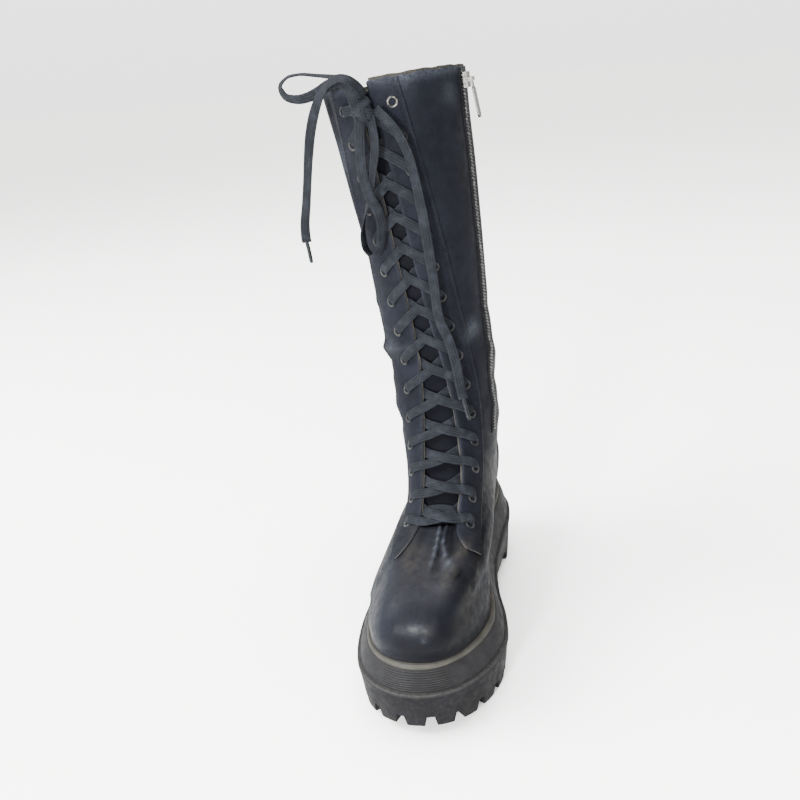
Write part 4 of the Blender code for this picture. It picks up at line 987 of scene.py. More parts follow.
def apply(obj, kind, **settings):
    """Adds a modifier and applies it."""
    modifier = obj.modifiers.new(kind.lower(), kind)
    for name, value in settings.items():
        setattr(modifier, name, value)
    bpy.ops.object.select_all(action="DESELECT")
    bpy.context.view_layer.objects.active = obj
    obj.select_set(True)
    bpy.ops.object.modifier_apply(modifier=modifier.name)


def thicken(obj, thickness):
    """Gives a sheet its thickness inwards, with its second material inside and its third on the cut edge."""
    rims = {"material_offset": 1, "material_offset_rim": 2}
    apply(obj, "SOLIDIFY", thickness=thickness, offset=-1, use_even_offset=False, **rims)


@contextmanager
def opened(obj):
    """The object's mesh, open to edits that are then written back to it."""
    bm = bmesh.new()
    bm.from_mesh(obj.data)
    yield bm
    bm.to_mesh(obj.data)
    bm.free()


def sharpen(obj, degrees):
    """Marks edges that turn by more than an angle as sharp."""
    with opened(obj) as bm:
        for edge in bm.edges:
            edge.smooth = len(edge.link_faces) != 2 or edge.calc_face_angle(0) < math.radians(degrees)


def leather_paint(row, around, shade=0.0):
    """Dirt, wear and shade of the leather at places on it."""
    row, around = np.broadcast_arrays(np.asarray(row, float), np.asarray(around, float))
    reach = reach_of(row, around)
    lift = folds(row, reach)
    polish = np.exp(-((row - 2.2) / 2.2) ** 2 - (reach / 42) ** 2)
    dirt = np.clip(marks(row, reach, DIRT_MARKS) + 0.55 * soft_step(1 - row / 0.45), 0, 1)
    wear = marks(row, reach, WEAR_MARKS) + 0.25 * soft_step((lift - 0.7) / 1.2)
    wear = wear + 0.5 * soft_step((row - 14.86) / 0.14)
    for side, sign in SIGN.items():
        edge = np.exp(-((past_seam(row, reach, side, sign) - 2.0) / 3.0) ** 2)
        wear = wear + 0.25 * edge * soft_step((4.2 - row) / 0.6)
    dark = marks(row, reach, SHADE_MARKS) + 0.5 * soft_step((-lift - 0.4) / 1.2) + shade
    return {"dirt": dirt, "wear": np.clip(wear, 0, 1), "shade": np.clip(dark, 0, 1), "dry": 1 - polish}


def make_upper():
    """Vamp, quarters and shaft, open at the throat and the collar, with a pale cut edge and a dark inside."""
    rows = even_rows(0, TOP_ROW, 2.7 * MM, (THROAT_ROW,))
    girth = girth_at(rows)
    held = np.maximum(rows, THROAT_ROW)
    middle, half = throat_at(held, "middle") / girth, throat_at(held, "half_gap") / girth
    inside = np.linspace(-1, 1, THROAT_COLUMNS + 1)[:-1]
    share = np.concatenate([inside, 1 + np.arange(UPPER_COLUMNS) / UPPER_COLUMNS])
    across = middle[:, None] + half[:, None] * np.minimum(share, 1)
    around = across + np.maximum(share - 1, 0) * (1 - 2 * half[:, None])
    place = np.repeat(rows[:, None], around.shape[1], 1)
    ragged = 0.010 * np.sin(around * 61) + 0.008 * np.sin(around * 143 + 1)
    points = surface(place - np.abs(ragged * soft_step((place - RAGGED_ROW) / 0.1)), around)

    def is_leather(row, column):
        """Whether a face of the grid lies outside the throat."""
        return rows[row] < THROAT_ROW - 1e-6 or not 1 <= column <= THROAT_COLUMNS

    faces = grid_faces(*around.shape, True, is_leather)
    upper = piece("upper_leather", points, faces, ["leather", "lining", "edge"], leather_paint(place, around))
    with opened(upper) as bm:
        loose = [vert for vert in bm.verts if not vert.link_faces]
        bmesh.ops.delete(bm, geom=loose, context="VERTS")
    thicken(upper, WALL)
    return upper


def strip_grid(rows, low, high, columns):
    """Rows and places around for a panel between two places for each row."""
    share = np.linspace(0, 1, columns)
    around = np.asarray(low)[:, None] + (np.asarray(high) - np.asarray(low))[:, None] * share
    return np.repeat(np.asarray(rows)[:, None], columns, 1), around


def make_facing(side):
    """Eyelet panel with its pointed tab: dry leather with a pale cut edge."""
    rows = even_rows(TAB_TIP[side], TOP_ROW - 0.02, 2.4 * MM, (THROAT_ROW,))
    tab = [*rows_of(FACING_TAB), THROAT_ROW]
    edge = [*column(FACING_TAB, side), facing_inner(THROAT_ROW, side)]
    inner = np.array([facing_inner(row, side) for row in rows])
    inner = np.where(rows < THROAT_ROW, smooth(rows, tab, edge), inner)
    outer = facing_seam(rows, side)
    start = TAB_TIP[side] + TAB_TAPER[side]
    point = np.interp(rows, [TAB_TIP[side], start], [outer[0] - 0.3 * MM, np.interp(start, rows, inner)])
    inner = np.where(rows < start, point, inner)
    girth = girth_at(rows)
    low, high = inner / girth, outer / girth
    if SIGN[side] < 0:
        low, high = -high, -low
    place, around = strip_grid(rows, low, high, FACING_COLUMNS)
    away = np.abs(reach_of(place, around))
    from_inner = np.abs(away - (inner / MM)[:, None])
    from_outer = np.abs((outer / MM)[:, None] - away)
    rim = np.minimum(from_inner, from_outer)
    thin = 0.45 * MM * (1 - soft_step(rim / 1.8))
    groove = 0.25 * MM * np.exp(-((from_outer - FACING_GROOVE) / 1.5) ** 2)
    points = surface(place, around, FACING_TOP - thin - groove)
    painted = leather_paint(place, around)
    painted["wear"] = np.clip(0.7 * painted["wear"] + 0.22 * np.exp(-rim / 0.9), 0, 1)
    dark = 0.35 * np.exp(-((from_outer - FACING_GROOVE) / 1.2) ** 2)
    painted["shade"] = np.clip(painted["shade"] * 0.6 + dark, 0, 1)
    faces = grid_faces(*around.shape)
    panel = piece(f"facing_{side}_leather", points, faces, ["facing", "facing", "edge"], painted)
    thicken(panel, OVERLAY - 0.3 * MM)
    return panel


def make_tongue():
    """Soft tongue behind the lace, hollowed a little between the facings."""
    rows = even_rows(TONGUE_ROW, TOP_ROW - 0.12, 3 * MM)
    spread = throat_at(rows, "half_gap") + TONGUE_LAP
    girth = girth_at(rows)
    middle = throat_at(rows, "middle")
    low, high = (middle - spread) / girth, (middle + spread) / girth
    place, around = strip_grid(rows, low, high, TONGUE_COLUMNS)
    up = front_length(place)
    ripple = 0.5 * MM * np.sin(up / 5.3 + np.sin(up / 19) * 2)
    aside = (around - (low + high)[:, None] / 2) * girth[:, None]
    sag = 1.9 * MM + ripple * np.exp(-((aside / TONGUE_RIPPLE) ** 2))
    points = SKIN.at(place, around, -(WALL + LINING_GAP) - sag)
    faces = grid_faces(*around.shape)
    # 0.25 more painted shade all over the tongue, which lies sunk behind the lace
    painted = leather_paint(place, around, 0.25)
    tongue = piece("tongue_leather", points, faces, ["tongue", "lining", "edge"], painted)
    thicken(tongue, TONGUE_THICKNESS - 0.6 * MM)
    return tongue


def make_collar():
    """Frayed canvas of the lining, which stands a little above the peeled leather at the collar."""
    rows = np.array(COLLAR_ROWS)
    half, middle = throat_at(rows, "half_gap"), throat_at(rows, "middle")
    girth = girth_at(rows)
    low, high = (middle + half + MM) / girth, 1 + (middle - half - MM) / girth
    place, around = strip_grid(rows, low, high, COLLAR_COLUMNS)
    fray = np.zeros(place.shape)
    fray[-2:] = 0.004 * np.sin(around[-2:] * 83) + 0.003 * np.sin(around[-2:] * 167 + 2)
    points = surface(place, around, -WALL * 0.55)
    points[..., 2] += fray * ROW_RISE + 0.4 * MM * (place > RAGGED_ROW)
    canvas = piece("collar_canvas", points, grid_faces(*around.shape), ["canvas"])
    apply(canvas, "SOLIDIFY", thickness=1.3 * MM, offset=-1)
    return canvas


def stitch_row(row, around, off):
    """Corners and faces of a row of stitches along places on the leather."""
    line = surface(row, around, off)
    run = run_along(line)
    verts, faces = [], []
    count = np.arange(len(run))
    for place in np.arange(STITCH_PITCH / 2, run[-1] - STITCH_PITCH / 2, STITCH_PITCH):
        at = [np.interp(place + share * STITCH_LENGTH, run, count) for share in (-0.5, 0, 0.5)]
        ends = [np.array([np.interp(i, count, line[:, k]) for k in range(3)]) for i in at]
        spot = int(round(at[1]))
        out = surface_normal(row[spot], around[spot])
        side = np.cross(ends[2] - ends[0], out)
        side = side / np.linalg.norm(side) * THREAD_HALF_WIDTH
        base = len(verts)
        verts += [ends[0] - out * THREAD_END_BELOW, ends[2] - out * THREAD_END_BELOW]
        verts += [ends[1] + side, ends[1] + out * THREAD_RISE]
        verts += [ends[1] - side, ends[1] - out * THREAD_BELOW]
        for k in range(4):
            a, b = base + 2 + k, base + 2 + (k + 1) % 4
            faces += [(base, b, a), (base + 1, a, b)]
    return verts, faces


def stitch_lines(side, sign):
    """Rows, places around and distance off the leather of the lines of thread on one side."""
    rows = even_rows(3.8, TOP_ROW - 0.1, STITCH_STEP)
    runs = [(rows, facing_seam(rows, side) - inset, FACING_TOP - 0.1 * MM) for inset in SEAM_INSETS]
    rows = even_rows(THROAT_ROW + 0.2, TOP_ROW - 0.1, STITCH_STEP)
    edge = np.array([facing_inner(row, side) for row in rows])
    runs.append((rows, edge + EDGE_INSET, FACING_TOP))
    rows = even_rows(4.3, 6.2, STITCH_STEP)
    tab = np.interp(rows, rows_of(FACING_TAB), column(FACING_TAB, side))
    runs.append((rows, tab + EDGE_INSET, FACING_TOP))
    rows = even_rows(0.3, 3.5, STITCH_STEP)
    seam = np.interp(rows, rows_of(QUARTER_SEAM), column(QUARTER_SEAM, side))
    runs += [(rows, seam + inset, 0.0) for inset in QUARTER_INSETS]
    lines = [(at, sign * reach / girth_at(at), off) for at, reach, off in runs]
    rows = even_rows(0.4, 6.2, STITCH_STEP)
    spread = np.maximum(counter_spread(rows) - COUNTER_INSET / girth_at(rows), 0.002)
    lines.append((rows, 0.5 - sign * spread, 0.0))
    rows = even_rows(ZIP[0].row, TOP_ROW - 0.05, STITCH_STEP)
    aside = (ZIP_WIDTH / 2 + ZIP_INSET) / girth_at(rows)
    lines.append((rows, zip_around(rows) + sign * aside, 0.0))
    return lines


def make_stitches():
    """Rows of thread along the facings, the quarter seams, the counter and the zip."""
    verts, faces = [], []
    for side, sign in SIGN.items():
        for line in stitch_lines(side, sign):
            more, corners = stitch_row(*line)
            faces += [tuple(k + len(verts) for k in face) for face in corners]
            verts += more
    return piece("stitching", verts, faces, ["thread"])


# Fineness of the midsole's and the welt's grids
MIDSOLE_LEVELS = 41
WELT_COLUMNS = 300

# Welt, from its edge to the leather: rise and inset of its outer rings in millimetres, share of the way
# and rise of its inner ones, and the dirt and wear of all of them
WELT_OUTER = [(0, 0), (1.8, -0.15), (2.9, 0.1), (3.4, 0.8)]
WELT_INNER = [(0.35, 0.2), (0.7, 0.0), (0.9, -0.1), (1.0, 0.3)]
WELT_DIRT = (0.3, 0.2, 0.15, 0.2, 0.35, 0.55, 0.7, 0.8)
WELT_WEAR = (0.1, 0.3, 0.8, 0.5, 0.25, 0.1, 0.0, 0.0)


def cutter(name, boxes):
    """Object of tapered boxes that cuts the rubber."""
    bm = bmesh.new()
    for size, top_width, place in boxes:
        for vert in bmesh.ops.create_cube(bm, size=1.0)["verts"]:
            wide = top_width if vert.co.z > 0 else size[0]
            vert.co = place @ Vector((vert.co.x * wide, vert.co.y * size[1], vert.co.z * size[2]))
    mesh = bpy.data.meshes.new(name)
    bm.to_mesh(mesh)
    bm.free()
    obj = bpy.data.objects.new(name, mesh)
    bpy.context.scene.collection.objects.link(obj)
    return obj


def cut(obj, other):
    """Takes the cutter out of the object, and removes it."""
    apply(obj, "BOOLEAN", object=other, operation="DIFFERENCE", solver="EXACT")
    bpy.data.objects.remove(other)


def notch_boxes():
    """Gaps between the lugs, square to the edge of the sole."""
    edge, outward = sole_edge(TREAD_INSET)
    toe = len(edge) // 2
    edge, outward = np.roll(edge, -toe, 0), np.roll(outward, -toe, 0)
    closed = np.vstack([edge, edge[:1]])
    length = run_along(closed)
    boxes = []
    for place in NOTCH_START + np.arange(NOTCHES) / NOTCHES * length[-1]:
        i = min(np.searchsorted(length, place, side="right") - 1, len(edge) - 1)
        share = (place - length[i]) / (length[i + 1] - length[i])
        x, y = closed[i] * (1 - share) + closed[i + 1] * share
        along = HEEL_Y - y
        if HEEL_BREAST - NOTCH_WIDTH < along < TREAD_START + NOTCH_WIDTH:
            continue
        turn = outward[i] * (1 - share) + outward[(i + 1) % len(edge)] * share
        angle = math.atan2(turn[1], turn[0]) - math.pi / 2
        middle = float(sole_height(along, "bottom")) + (NOTCH_HEIGHT - NOTCH_BELOW) / 2
        spin = Matrix.Translation((x, y, middle)) @ Matrix.Rotation(angle, 4, "Z")
        boxes.append(((NOTCH_WIDTH, 2 * NOTCH_DEPTH, NOTCH_HEIGHT + NOTCH_BELOW), NOTCH_TOP_WIDTH, spin))
    return boxes


def cap_faces(first, count):
    """Faces that fill a ring of an even number of points by strips between its two sides."""
    faces = []
    for c in range(count // 2):
        corners = [first + c, first + c + 1, first + (count - c - 1) % count, first + (count - c) % count]
        faces.append(tuple(dict.fromkeys(corners)))
    return faces


def make_outsole():
    """Lugged tier: soft moulded edges, lugs parted by tapered gaps, and a pale rubbed line on the ridge."""
    levels = [
        (TREAD_INSET + 1.0 * MM, "bottom", 0.0),
        (TREAD_INSET + 0.3 * MM, "bottom", 0.3 * MM),
        (TREAD_INSET, "bottom", 1.0 * MM),
        (0.3 * TREAD_INSET, "ridge", -3 * OUTSOLE_SHOULDER),
        (0.1 * TREAD_INSET, "ridge", -1.8 * OUTSOLE_SHOULDER),
        (0.0, "ridge", -OUTSOLE_SHOULDER),
        (0.0, "ridge", -1.2 * MM),
        (0.35 * MM, "ridge", -0.3 * MM),
        (1.2 * MM, "ridge", 0.0),
    ]
    rings = [sole_ring(*level) for level in levels]
    count = len(rings[0])
    faces = grid_faces(len(rings), count, True)
    faces += cap_faces(0, count) + cap_faces((len(rings) - 1) * count, count)
    outsole = piece("outsole_rubber", rings, faces, ["outsole"])
    with opened(outsole) as bm:
        bmesh.ops.recalc_face_normals(bm, faces=bm.faces)
    cut(outsole, cutter("notches", notch_boxes()))
    grooves = []
    for groove in GROOVES:
        place = Matrix.Translation((SHIFT_X, HEEL_Y - groove.from_heel * MM, 0))
        width = 2 * groove.half_length * MM
        grooves.append(((width, GROOVE_WIDTH, 2 * GROOVE_DEPTH), width, place))
    cut(outsole, cutter("grooves", grooves))
    sharpen(outsole, 38)
    points = np.array([vert.co for vert in outsole.data.vertices])
    below = sole_height(HEEL_Y - points[:, 1], "ridge") - points[:, 2]
    paint(outsole.data, "wear", 0.75 * np.exp(-((below - 0.5 * MM) / (0.9 * MM)) ** 2))
    paint(outsole.data, "dirt", 0.35 * np.exp(-points[:, 2] / (4 * MM)))
    paint(outsole.data, "shade", 0.35 * np.exp(-((below - 4.5 * MM) / (2 * MM)) ** 2))
    return outsole


def make_midsole():
    """Platform tier drawn in towards the welt, with fine ribs round the toe that fade out on both sides."""
    foot = sole_ring(MIDSOLE_FOOT_INSET, "ridge", SEAT_GAP - 0.3 * MM)
    top = sole_ring(MIDSOLE_TOP_INSET, "top")
    _, outward = sole_edge(MIDSOLE_FOOT_INSET)
    out = np.column_stack([outward, np.zeros(len(outward))])
    toe = len(foot) // 2
    side = foot[:, 0] - foot[toe, 0]
    fade = soft_step((RIB_MEDIAL + 6 * MM - side) / (9 * MM))
    fade = fade * soft_step((side + RIB_LATERAL + 6 * MM) / (9 * MM)) * (foot[:, 1] < 0)
    rings, shade, wear, dirt = [], [], [], []
    for k in range(MIDSOLE_LEVELS):
        t = k / (MIDSOLE_LEVELS - 1)
        groove = 0.5 - 0.5 * math.cos(2 * math.pi * RIBS * t)
        inside = RIB_DEPTH * fade * groove * soft_step(t * 12) * soft_step((1 - t) * 12)
        bulge = 0.9 * MM * math.sin(math.pi * t) - 0.8 * MM * (1 - soft_step((1 - t) * 14))
        rings.append(foot + (top - foot) * t + out * (bulge - inside)[:, None])
        # Painted shade in the grooves of the ribs and at the foot of the tier; the wear value is a painted
        # highlight on the crowns of the ribs, and paler along the top edge
        shade.append(0.55 * fade * groove + 0.5 * (1 - soft_step(t * 14)))
        wear.append(0.3 * fade * (1 - groove) + 0.5 * (1 - soft_step((1 - t) * 22)))
        dirt.append(np.full(len(foot), 0.35 * (1 - soft_step((1 - t) * 9)) + 0.3 * (1 - soft_step(t * 10))))
    rings.append(sole_ring(MIDSOLE_TOP_INSET + 3 * MM, "top"))
    for layer in (shade, wear, dirt):
        layer.append(np.full(len(foot), 0.4))
    count = len(foot)
    faces = grid_faces(len(rings), count, True) + cap_faces((len(rings) - 1) * count, count)
    painted = {"shade": np.clip(shade, 0, 1), "wear": wear, "dirt": dirt}
    midsole = piece("midsole_rubber", rings, faces, ["midsole"], painted)
    sharpen(midsole, 50)
    return midsole


def make_welt():
    """Strip round the foot of the upper, dusty, with brown dirt where the leather meets it."""
    around = np.arange(WELT_COLUMNS) / WELT_COLUMNS
    foot, outward = feather_line(around)
    wall = SKIN.at(0.3, around)
    climb = (WELT_HEIGHT / (wall[:, 2] - foot[:, 2]))[:, None]
    head = foot + (wall - foot) * climb
    outline, _ = sole_edge(MIDSOLE_TOP_INSET + WELT_EDGE)
    flat = outward / np.linalg.norm(outward, axis=1)[:, None]
    outer = np.array([first_crossing(low[:2], out[:2], outline) for low, out in zip(foot, flat)])
    base = sole_height(HEEL_Y - outer[:, 1], "top") - 0.4 * MM
    edge = np.column_stack([outer, base])
    inner = head + 0.1 * MM * outward
    rings = [edge + [0, 0, rise * MM] - flat * inset * MM for rise, inset in WELT_OUTER]
    crown = rings[-1]
    for share, rise in WELT_INNER:
        rings.append(crown + (inner - crown) * share + np.array([0, 0, rise * MM]))
    every = np.ones(WELT_COLUMNS)
    painted = {
        "dirt": np.outer(WELT_DIRT, every),
        "wear": np.outer(WELT_WEAR, every),
        "shade": np.zeros((len(rings), WELT_COLUMNS)),
    }
    return piece("welt_rubber", rings, grid_faces(len(rings), WELT_COLUMNS, True), ["welt"], painted)


# Flat lace as it is made, and its section in shares of width and thickness
FLAT_WIDTH = 8.0 * MM
FLAT_THICKNESS = 1.3 * MM
FLAT_SECTION = [(-0.5, 0), (-0.44, 0.36), (-0.2, 0.5), (0.2, 0.5), (0.44, 0.36), (0.5, 0),
                (0.44, -0.36), (0.2, -0.5), (-0.2, -0.5), (-0.44, -0.36)]

# Share of a pair's distance that a strand climbs on its way across
FLAT_CLIMB = 0.93
# Lowest bar: the rows by which it bows upward, and its height over the last in millimetres
BAR_ARCH = 0.25
BAR_LIFT = (-2.8, -2.5, -1.2, -0.8, -1.2, -2.5, -2.8)

# Bands of lace in the knot: the axes of a ring, its half lengths along them, the band's width, and its
# shift along the ring's own axis, in millimetres. They are wound round a core with these half lengths.
Band = namedtuple("Band", "first second half_first half_second width shift")
KNOT_BANDS = [
    Band((0.25, 1, 0.1), (-0.1, 0, 1), 5.2, 8.0, 7.0, 0.0),
    Band((1, 0.15, -0.35), (0, -1, 0), 7.6, 5.0, 7.5, 1.0),
    Band((0.8, 0.1, 0.7), (0.1, -1, 0), 7.8, 5.6, 6.0, -2.5),
]
BAND_THICKNESS = 1.6 * MM
KNOT_CORE = (6.4, 4.2, 7.2)
CORE_RINGS = 9
CORE_SIDES = 16
AGLET_SIDES = 12

# Turn of a free strand about its own line, in degrees, along its share of length
Twist = namedtuple("Twist", "share degrees")
LOOP_DOWN_TWIST = make_table(Twist, (0, 10), (0.25, 25), (0.5, 75), (0.75, 30), (1, 10))
LOOP_SIDE_TWIST = make_table(
    Twist,
    (0, 15), (0.2, 58), (0.35, 66), (0.5, 56), (0.65, 38), (0.85, 25), (1, 10),
)
END_TWIST = make_table(Twist, (0, 15), (0.2, 35), (0.45, 12), (0.7, 28), (1, 8))

# Way that the face of the lace looks where it hangs beside the boot
AIR_FACE = (0.25, -0.95, 0.2)

# Rolled ring of an eyelet: radius and height in millimetres, and how much of the enamel's wear it takes
Roll = namedtuple("Roll", "radius height worn")
EYELET_PROFILE = make_table(
    Roll,
    (4.1, -0.1, 0.15), (4.05, 0.3, 0.4), (3.7, 0.7, 0.8), (3.3, 0.8, 1.0), (2.85, 0.6, 0.9),
    (2.5, 0.15, 0.5), (2.4, -0.6, 0.1), (2.35, -1.2, 0.0),
)
EYELET_SIDES = 28

# Teeth and tape of the zip
TOOTH_PITCH = 1.3 * MM
TOOTH = (3.4 * MM, 0.75 * MM, 1.3 * MM)
TOOTH_FROM_MIDDLE = 0.9 * MM
BOX_FACES = [(0, 2, 3, 1), (4, 5, 7, 6), (0, 1, 5, 4), (2, 6, 7, 3), (0, 4, 6, 2), (1, 3, 7, 5)]
ZIP_TAPE_WIDTH = 12 * MM
TAPE_COLUMNS = 9


def unit(vectors):
    """Vectors of length one."""
    return vectors / np.linalg.norm(vectors, axis=-1, keepdims=True)


def turns(count):
    """Angles of a full turn in even steps."""
    return np.arange(count) * math.pi / (count / 2)


def ribbon_mesh(points, out, width=FLAT_WIDTH, thickness=FLAT_THICKNESS):
    """Corners, faces and strip coordinates of a flat lace along points, its face turned to out."""
    along = unit(np.gradient(points, axis=0))
    side = unit(np.cross(along, out))
    face = np.cross(side, along)
    section = np.array(FLAT_SECTION)
    count = len(section)
    rings = points[:, None] + side[:, None] * (section[:, 0] * width)[None, :, None]
    rings = rings + face[:, None] * (section[:, 1] * thickness)[None, :, None]
    faces = [f[::-1] for f in grid_faces(len(points), count, True)]
    faces += [tuple(range(count)), tuple(range(len(points) * count - 1, (len(points) - 1) * count - 1, -1))]
    run = run_along(points)
    uv = np.stack(np.broadcast_arrays(run[:, None], section[None, :, 0] * width), -1)
    return rings.reshape(-1, 3), faces, uv.reshape(-1, 2)


def join_meshes(parts):
    """One list of corners, faces and strip coordinates from several."""
    verts, faces, uv = [], [], []
    for points, corners, strip in parts:
        base = sum(len(v) for v in verts)
        faces += [tuple(k + base for k in face) for face in corners]
        verts.append(points)
        uv.append(strip)
    return np.vstack(verts), faces, np.vstack(uv)


def lace_path(rows, reach, off):
    """Smooth path of a lace through places on the boot, with its outward directions."""
    index = np.arange(len(rows))
    fine = np.linspace(0, index[-1], 9 * len(rows))
    row, away, lift = (smooth(fine, index, values) for values in (rows, reach, off))
    around = SKIN.around(row, away)
    fall = np.clip(relief(row, around), -MM, 1.5 * MM)
    return SKIN.at(row, around, lift + 0.8 * fall), surface_normal(row, around)


def crossing(start_row, end_row, sign, over):
    """One strand: out of an eyelet, across the throat, and in behind the other facing one pair higher."""
    start_side, end_side = ("medial", "lateral") if sign > 0 else ("lateral", "medial")
    start = eyelet_reach(start_row, start_side)
    near = facing_inner(start_row, start_side)
    far = -facing_inner(end_row, end_side)
    middle = 0.5 * (near + far)
    deep = start_row < THROAT_ROW
    steps = [
        (start, FACING_TOP - 1.0 * MM),
        (start - 1.6 * MM, FACING_TOP + 1.5 * MM),
        (start - 6.0 * MM, FACING_TOP + 1.2 * MM),
        (near + 3.0 * MM, FACING_TOP + 0.8 * MM),
        (near - 1.5 * MM, FACING_TOP - 0.3 * MM),
        (middle, (1.7 if over else 0.2) * MM + (1.2 * MM if deep else 0.0)),
        (far + 4.0 * MM, (0.9 if deep else -0.8) * MM),
        (far + 1.0 * MM, -2.0 * MM),
        (far - 4.0 * MM, -2.8 * MM),
    ]
    reach = np.array([step[0] for step in steps])
    share = (start - reach) / (start - far)
    bend = 0.45 + 0.27 * float(soft_step((start_row - 6.8) / 3.2)) + (0 if over else 0.18)
    rows = start_row + (end_row - start_row) * FLAT_CLIMB * np.minimum(share, 1.1) ** bend
    return lace_path(rows, sign * reach, np.array([step[1] for step in steps]))


def make_crossings():
    """Crossed flat lace between the facings, the bar below it, and the lead to the knot."""
    rows = eyelet_rows()
    strips = []
    for low, high in zip(rows[1:], rows):
        strips.append(ribbon_mesh(*crossing(low, high, 1, True)))
        strips.append(ribbon_mesh(*crossing(low, high, -1, False)))
    bar_row = THROAT_ROW + 0.45
    middle, half = float(throat_at(bar_row, "middle")), float(throat_at(bar_row, "half_gap"))
    sweep = np.linspace(-1, 1, len(BAR_LIFT))
    reach = middle + (half + 5 * MM) * sweep
    arch = bar_row + BAR_ARCH * np.cos(0.5 * np.pi * sweep)
    strips.append(ribbon_mesh(*lace_path(arch, reach, np.array(BAR_LIFT) * MM)))
    top, reach = rows[0], eyelet_reach(rows[0], "lateral")
    lead = np.array([-reach, 1.6 * MM - reach, 0.55 * -reach, -10 * MM])
    strips.append(ribbon_mesh(*lace_path(np.full(4, top), lead, np.array([1.0, 3.5, 5.0, 7.5]) * MM)))
    verts, faces, uv = join_meshes(strips)
    return piece("lace_crossings", verts, faces, ["lace"], uv=uv)


def knot_centre():
    """Middle of the bow's knot."""
    row, reach, off = KNOT_PLACE
    return SKIN.across(row, reach * MM, off * MM)


def make_knot():
    """Knot of the bow: bands of flat lace wound over one another round a small core."""
    centre = knot_centre()
    turn = np.linspace(0, 2 * math.pi, 41)
    parts = []
    for band in KNOT_BANDS:
        first = unit(np.array(band.first, float))
        second = np.array(band.second, float)
        second = unit(second - first * (first @ second))
        ring = first * (band.half_first * MM * np.cos(turn))[:, None]
        ring = ring + second * (band.half_second * MM * np.sin(turn))[:, None]
        shift = np.cross(first, second) * band.shift * MM
        parts.append(ribbon_mesh(centre + ring + shift, unit(ring), band.width * MM, BAND_THICKNESS))
    core = np.array([
        [math.cos(u) * math.sin(v), math.sin(u) * math.sin(v), math.cos(v)]
        for v in np.linspace(0.05, math.pi - 0.05, CORE_RINGS)
        for u in turns(CORE_SIDES)
    ])
    core_points = centre + core * np.array(KNOT_CORE) * MM
    parts.append((core_points, grid_faces(CORE_RINGS, CORE_SIDES, True), core[:, :2] * 6 * MM))
    verts, faces, uv = join_meshes(parts)
    return piece("lace_knot", verts, faces, ["lace"], uv=uv)


def free_strand(name, route, out, twists):
    """Flat lace along a free route, turned about its own line, with its path."""
    points = even_route(route, 2 * MM)
    share = np.linspace(0, 1, len(points))
    angle = np.radians(smooth(share, [t.share for t in twists], [t.degrees for t in twists]))[:, None]
    along = unit(np.gradient(points, axis=0))
    out = np.array([np.interp(share, np.linspace(0, 1, len(out)), out[:, k]) for k in range(3)]).T
    out = unit(out - along * (out * along).sum(1, keepdims=True))
    turned = out * np.cos(angle) + np.cross(along, out) * np.sin(angle)
    verts, faces, uv = ribbon_mesh(points, turned)
    return piece(name, verts, faces, ["lace"], uv=uv), points


def make_aglet(name, points):
    """Stiff film rolled round the tip of the lace."""
    along = unit(np.gradient(points, axis=0))
    side = unit(np.cross(along, [0.3, 1.0, 0.2]))
    face = np.cross(side, along)
    turn = turns(AGLET_SIDES)[:, None]
    sizes = [0.9] + [1.0] * (len(points) - 2) + [0.8]
    rings = [
        p + AGLET_RADIUS * size * (s * np.cos(turn) + f * np.sin(turn))
        for p, s, f, size in zip(points, side, face, sizes)
    ]
    last = len(rings) * AGLET_SIDES - 1
    faces = [f[::-1] for f in grid_faces(len(rings), AGLET_SIDES, True)]
    faces += [tuple(range(AGLET_SIDES)), tuple(range(last, last - AGLET_SIDES, -1))]
    return piece(name, rings, faces, ["aglet"])


def out_of_shaft(table):
    """Outward directions along a route on the boot."""
    return np.array([surface_normal(p.row, SKIN.around(p.row, p.reach * MM)) for p in table])


def out_of_air(table):
    """Outward directions along a route beside the boot."""
    return np.repeat([AIR_FACE], len(table), 0)


def make_bow():
    """Two loops and two ends of the bow. Gives each piece with its path and its aglet."""
    made = []
    for name, route, out, twists in (
        ("lace_loop_down", on_boot(LOOP_DOWN), out_of_shaft(LOOP_DOWN), LOOP_DOWN_TWIST),
        ("lace_loop_side", in_air(LOOP_SIDE), out_of_air(LOOP_SIDE), LOOP_SIDE_TWIST),
    ):
        made.append((*free_strand(name, route, out, twists), None))
    for name, route, out in (
        ("lace_end_down_flat", on_boot(END_DOWN), out_of_shaft(END_DOWN)),
        ("lace_end_side_flat", in_air(END_SIDE), out_of_air(END_SIDE)),
    ):
        fine = even_route(route, MM)
        stop = len(fine) - round(AGLET_LENGTH / MM)
        strand, points = free_strand(name, fine[: stop + 2], out, END_TWIST)
        aglet = make_aglet(name.replace("flat", "aglet"), even_route(fine[stop:], 2.4 * MM))
        made.append((strand, points, aglet))
    return made


def eyelet_rings(seat, x, y, z):
    """Rings of an eyelet on its seat, with its axis along z."""
    turn = turns(EYELET_SIDES)[:, None]
    wheel = x * np.cos(turn) + y * np.sin(turn)
    return [seat + z * (roll.height * MM) + roll.radius * MM * wheel for roll in EYELET_PROFILE]


def eyelet_wear(index, side):
    """How far an eyelet is rubbed to the bare metal: the top one on the medial side most."""
    if index == 0 and side == "medial":
        return 0.7
    return 0.03 + 0.15 * ((index * 7 + (3 if side == "medial" else 0)) % 10) / 10


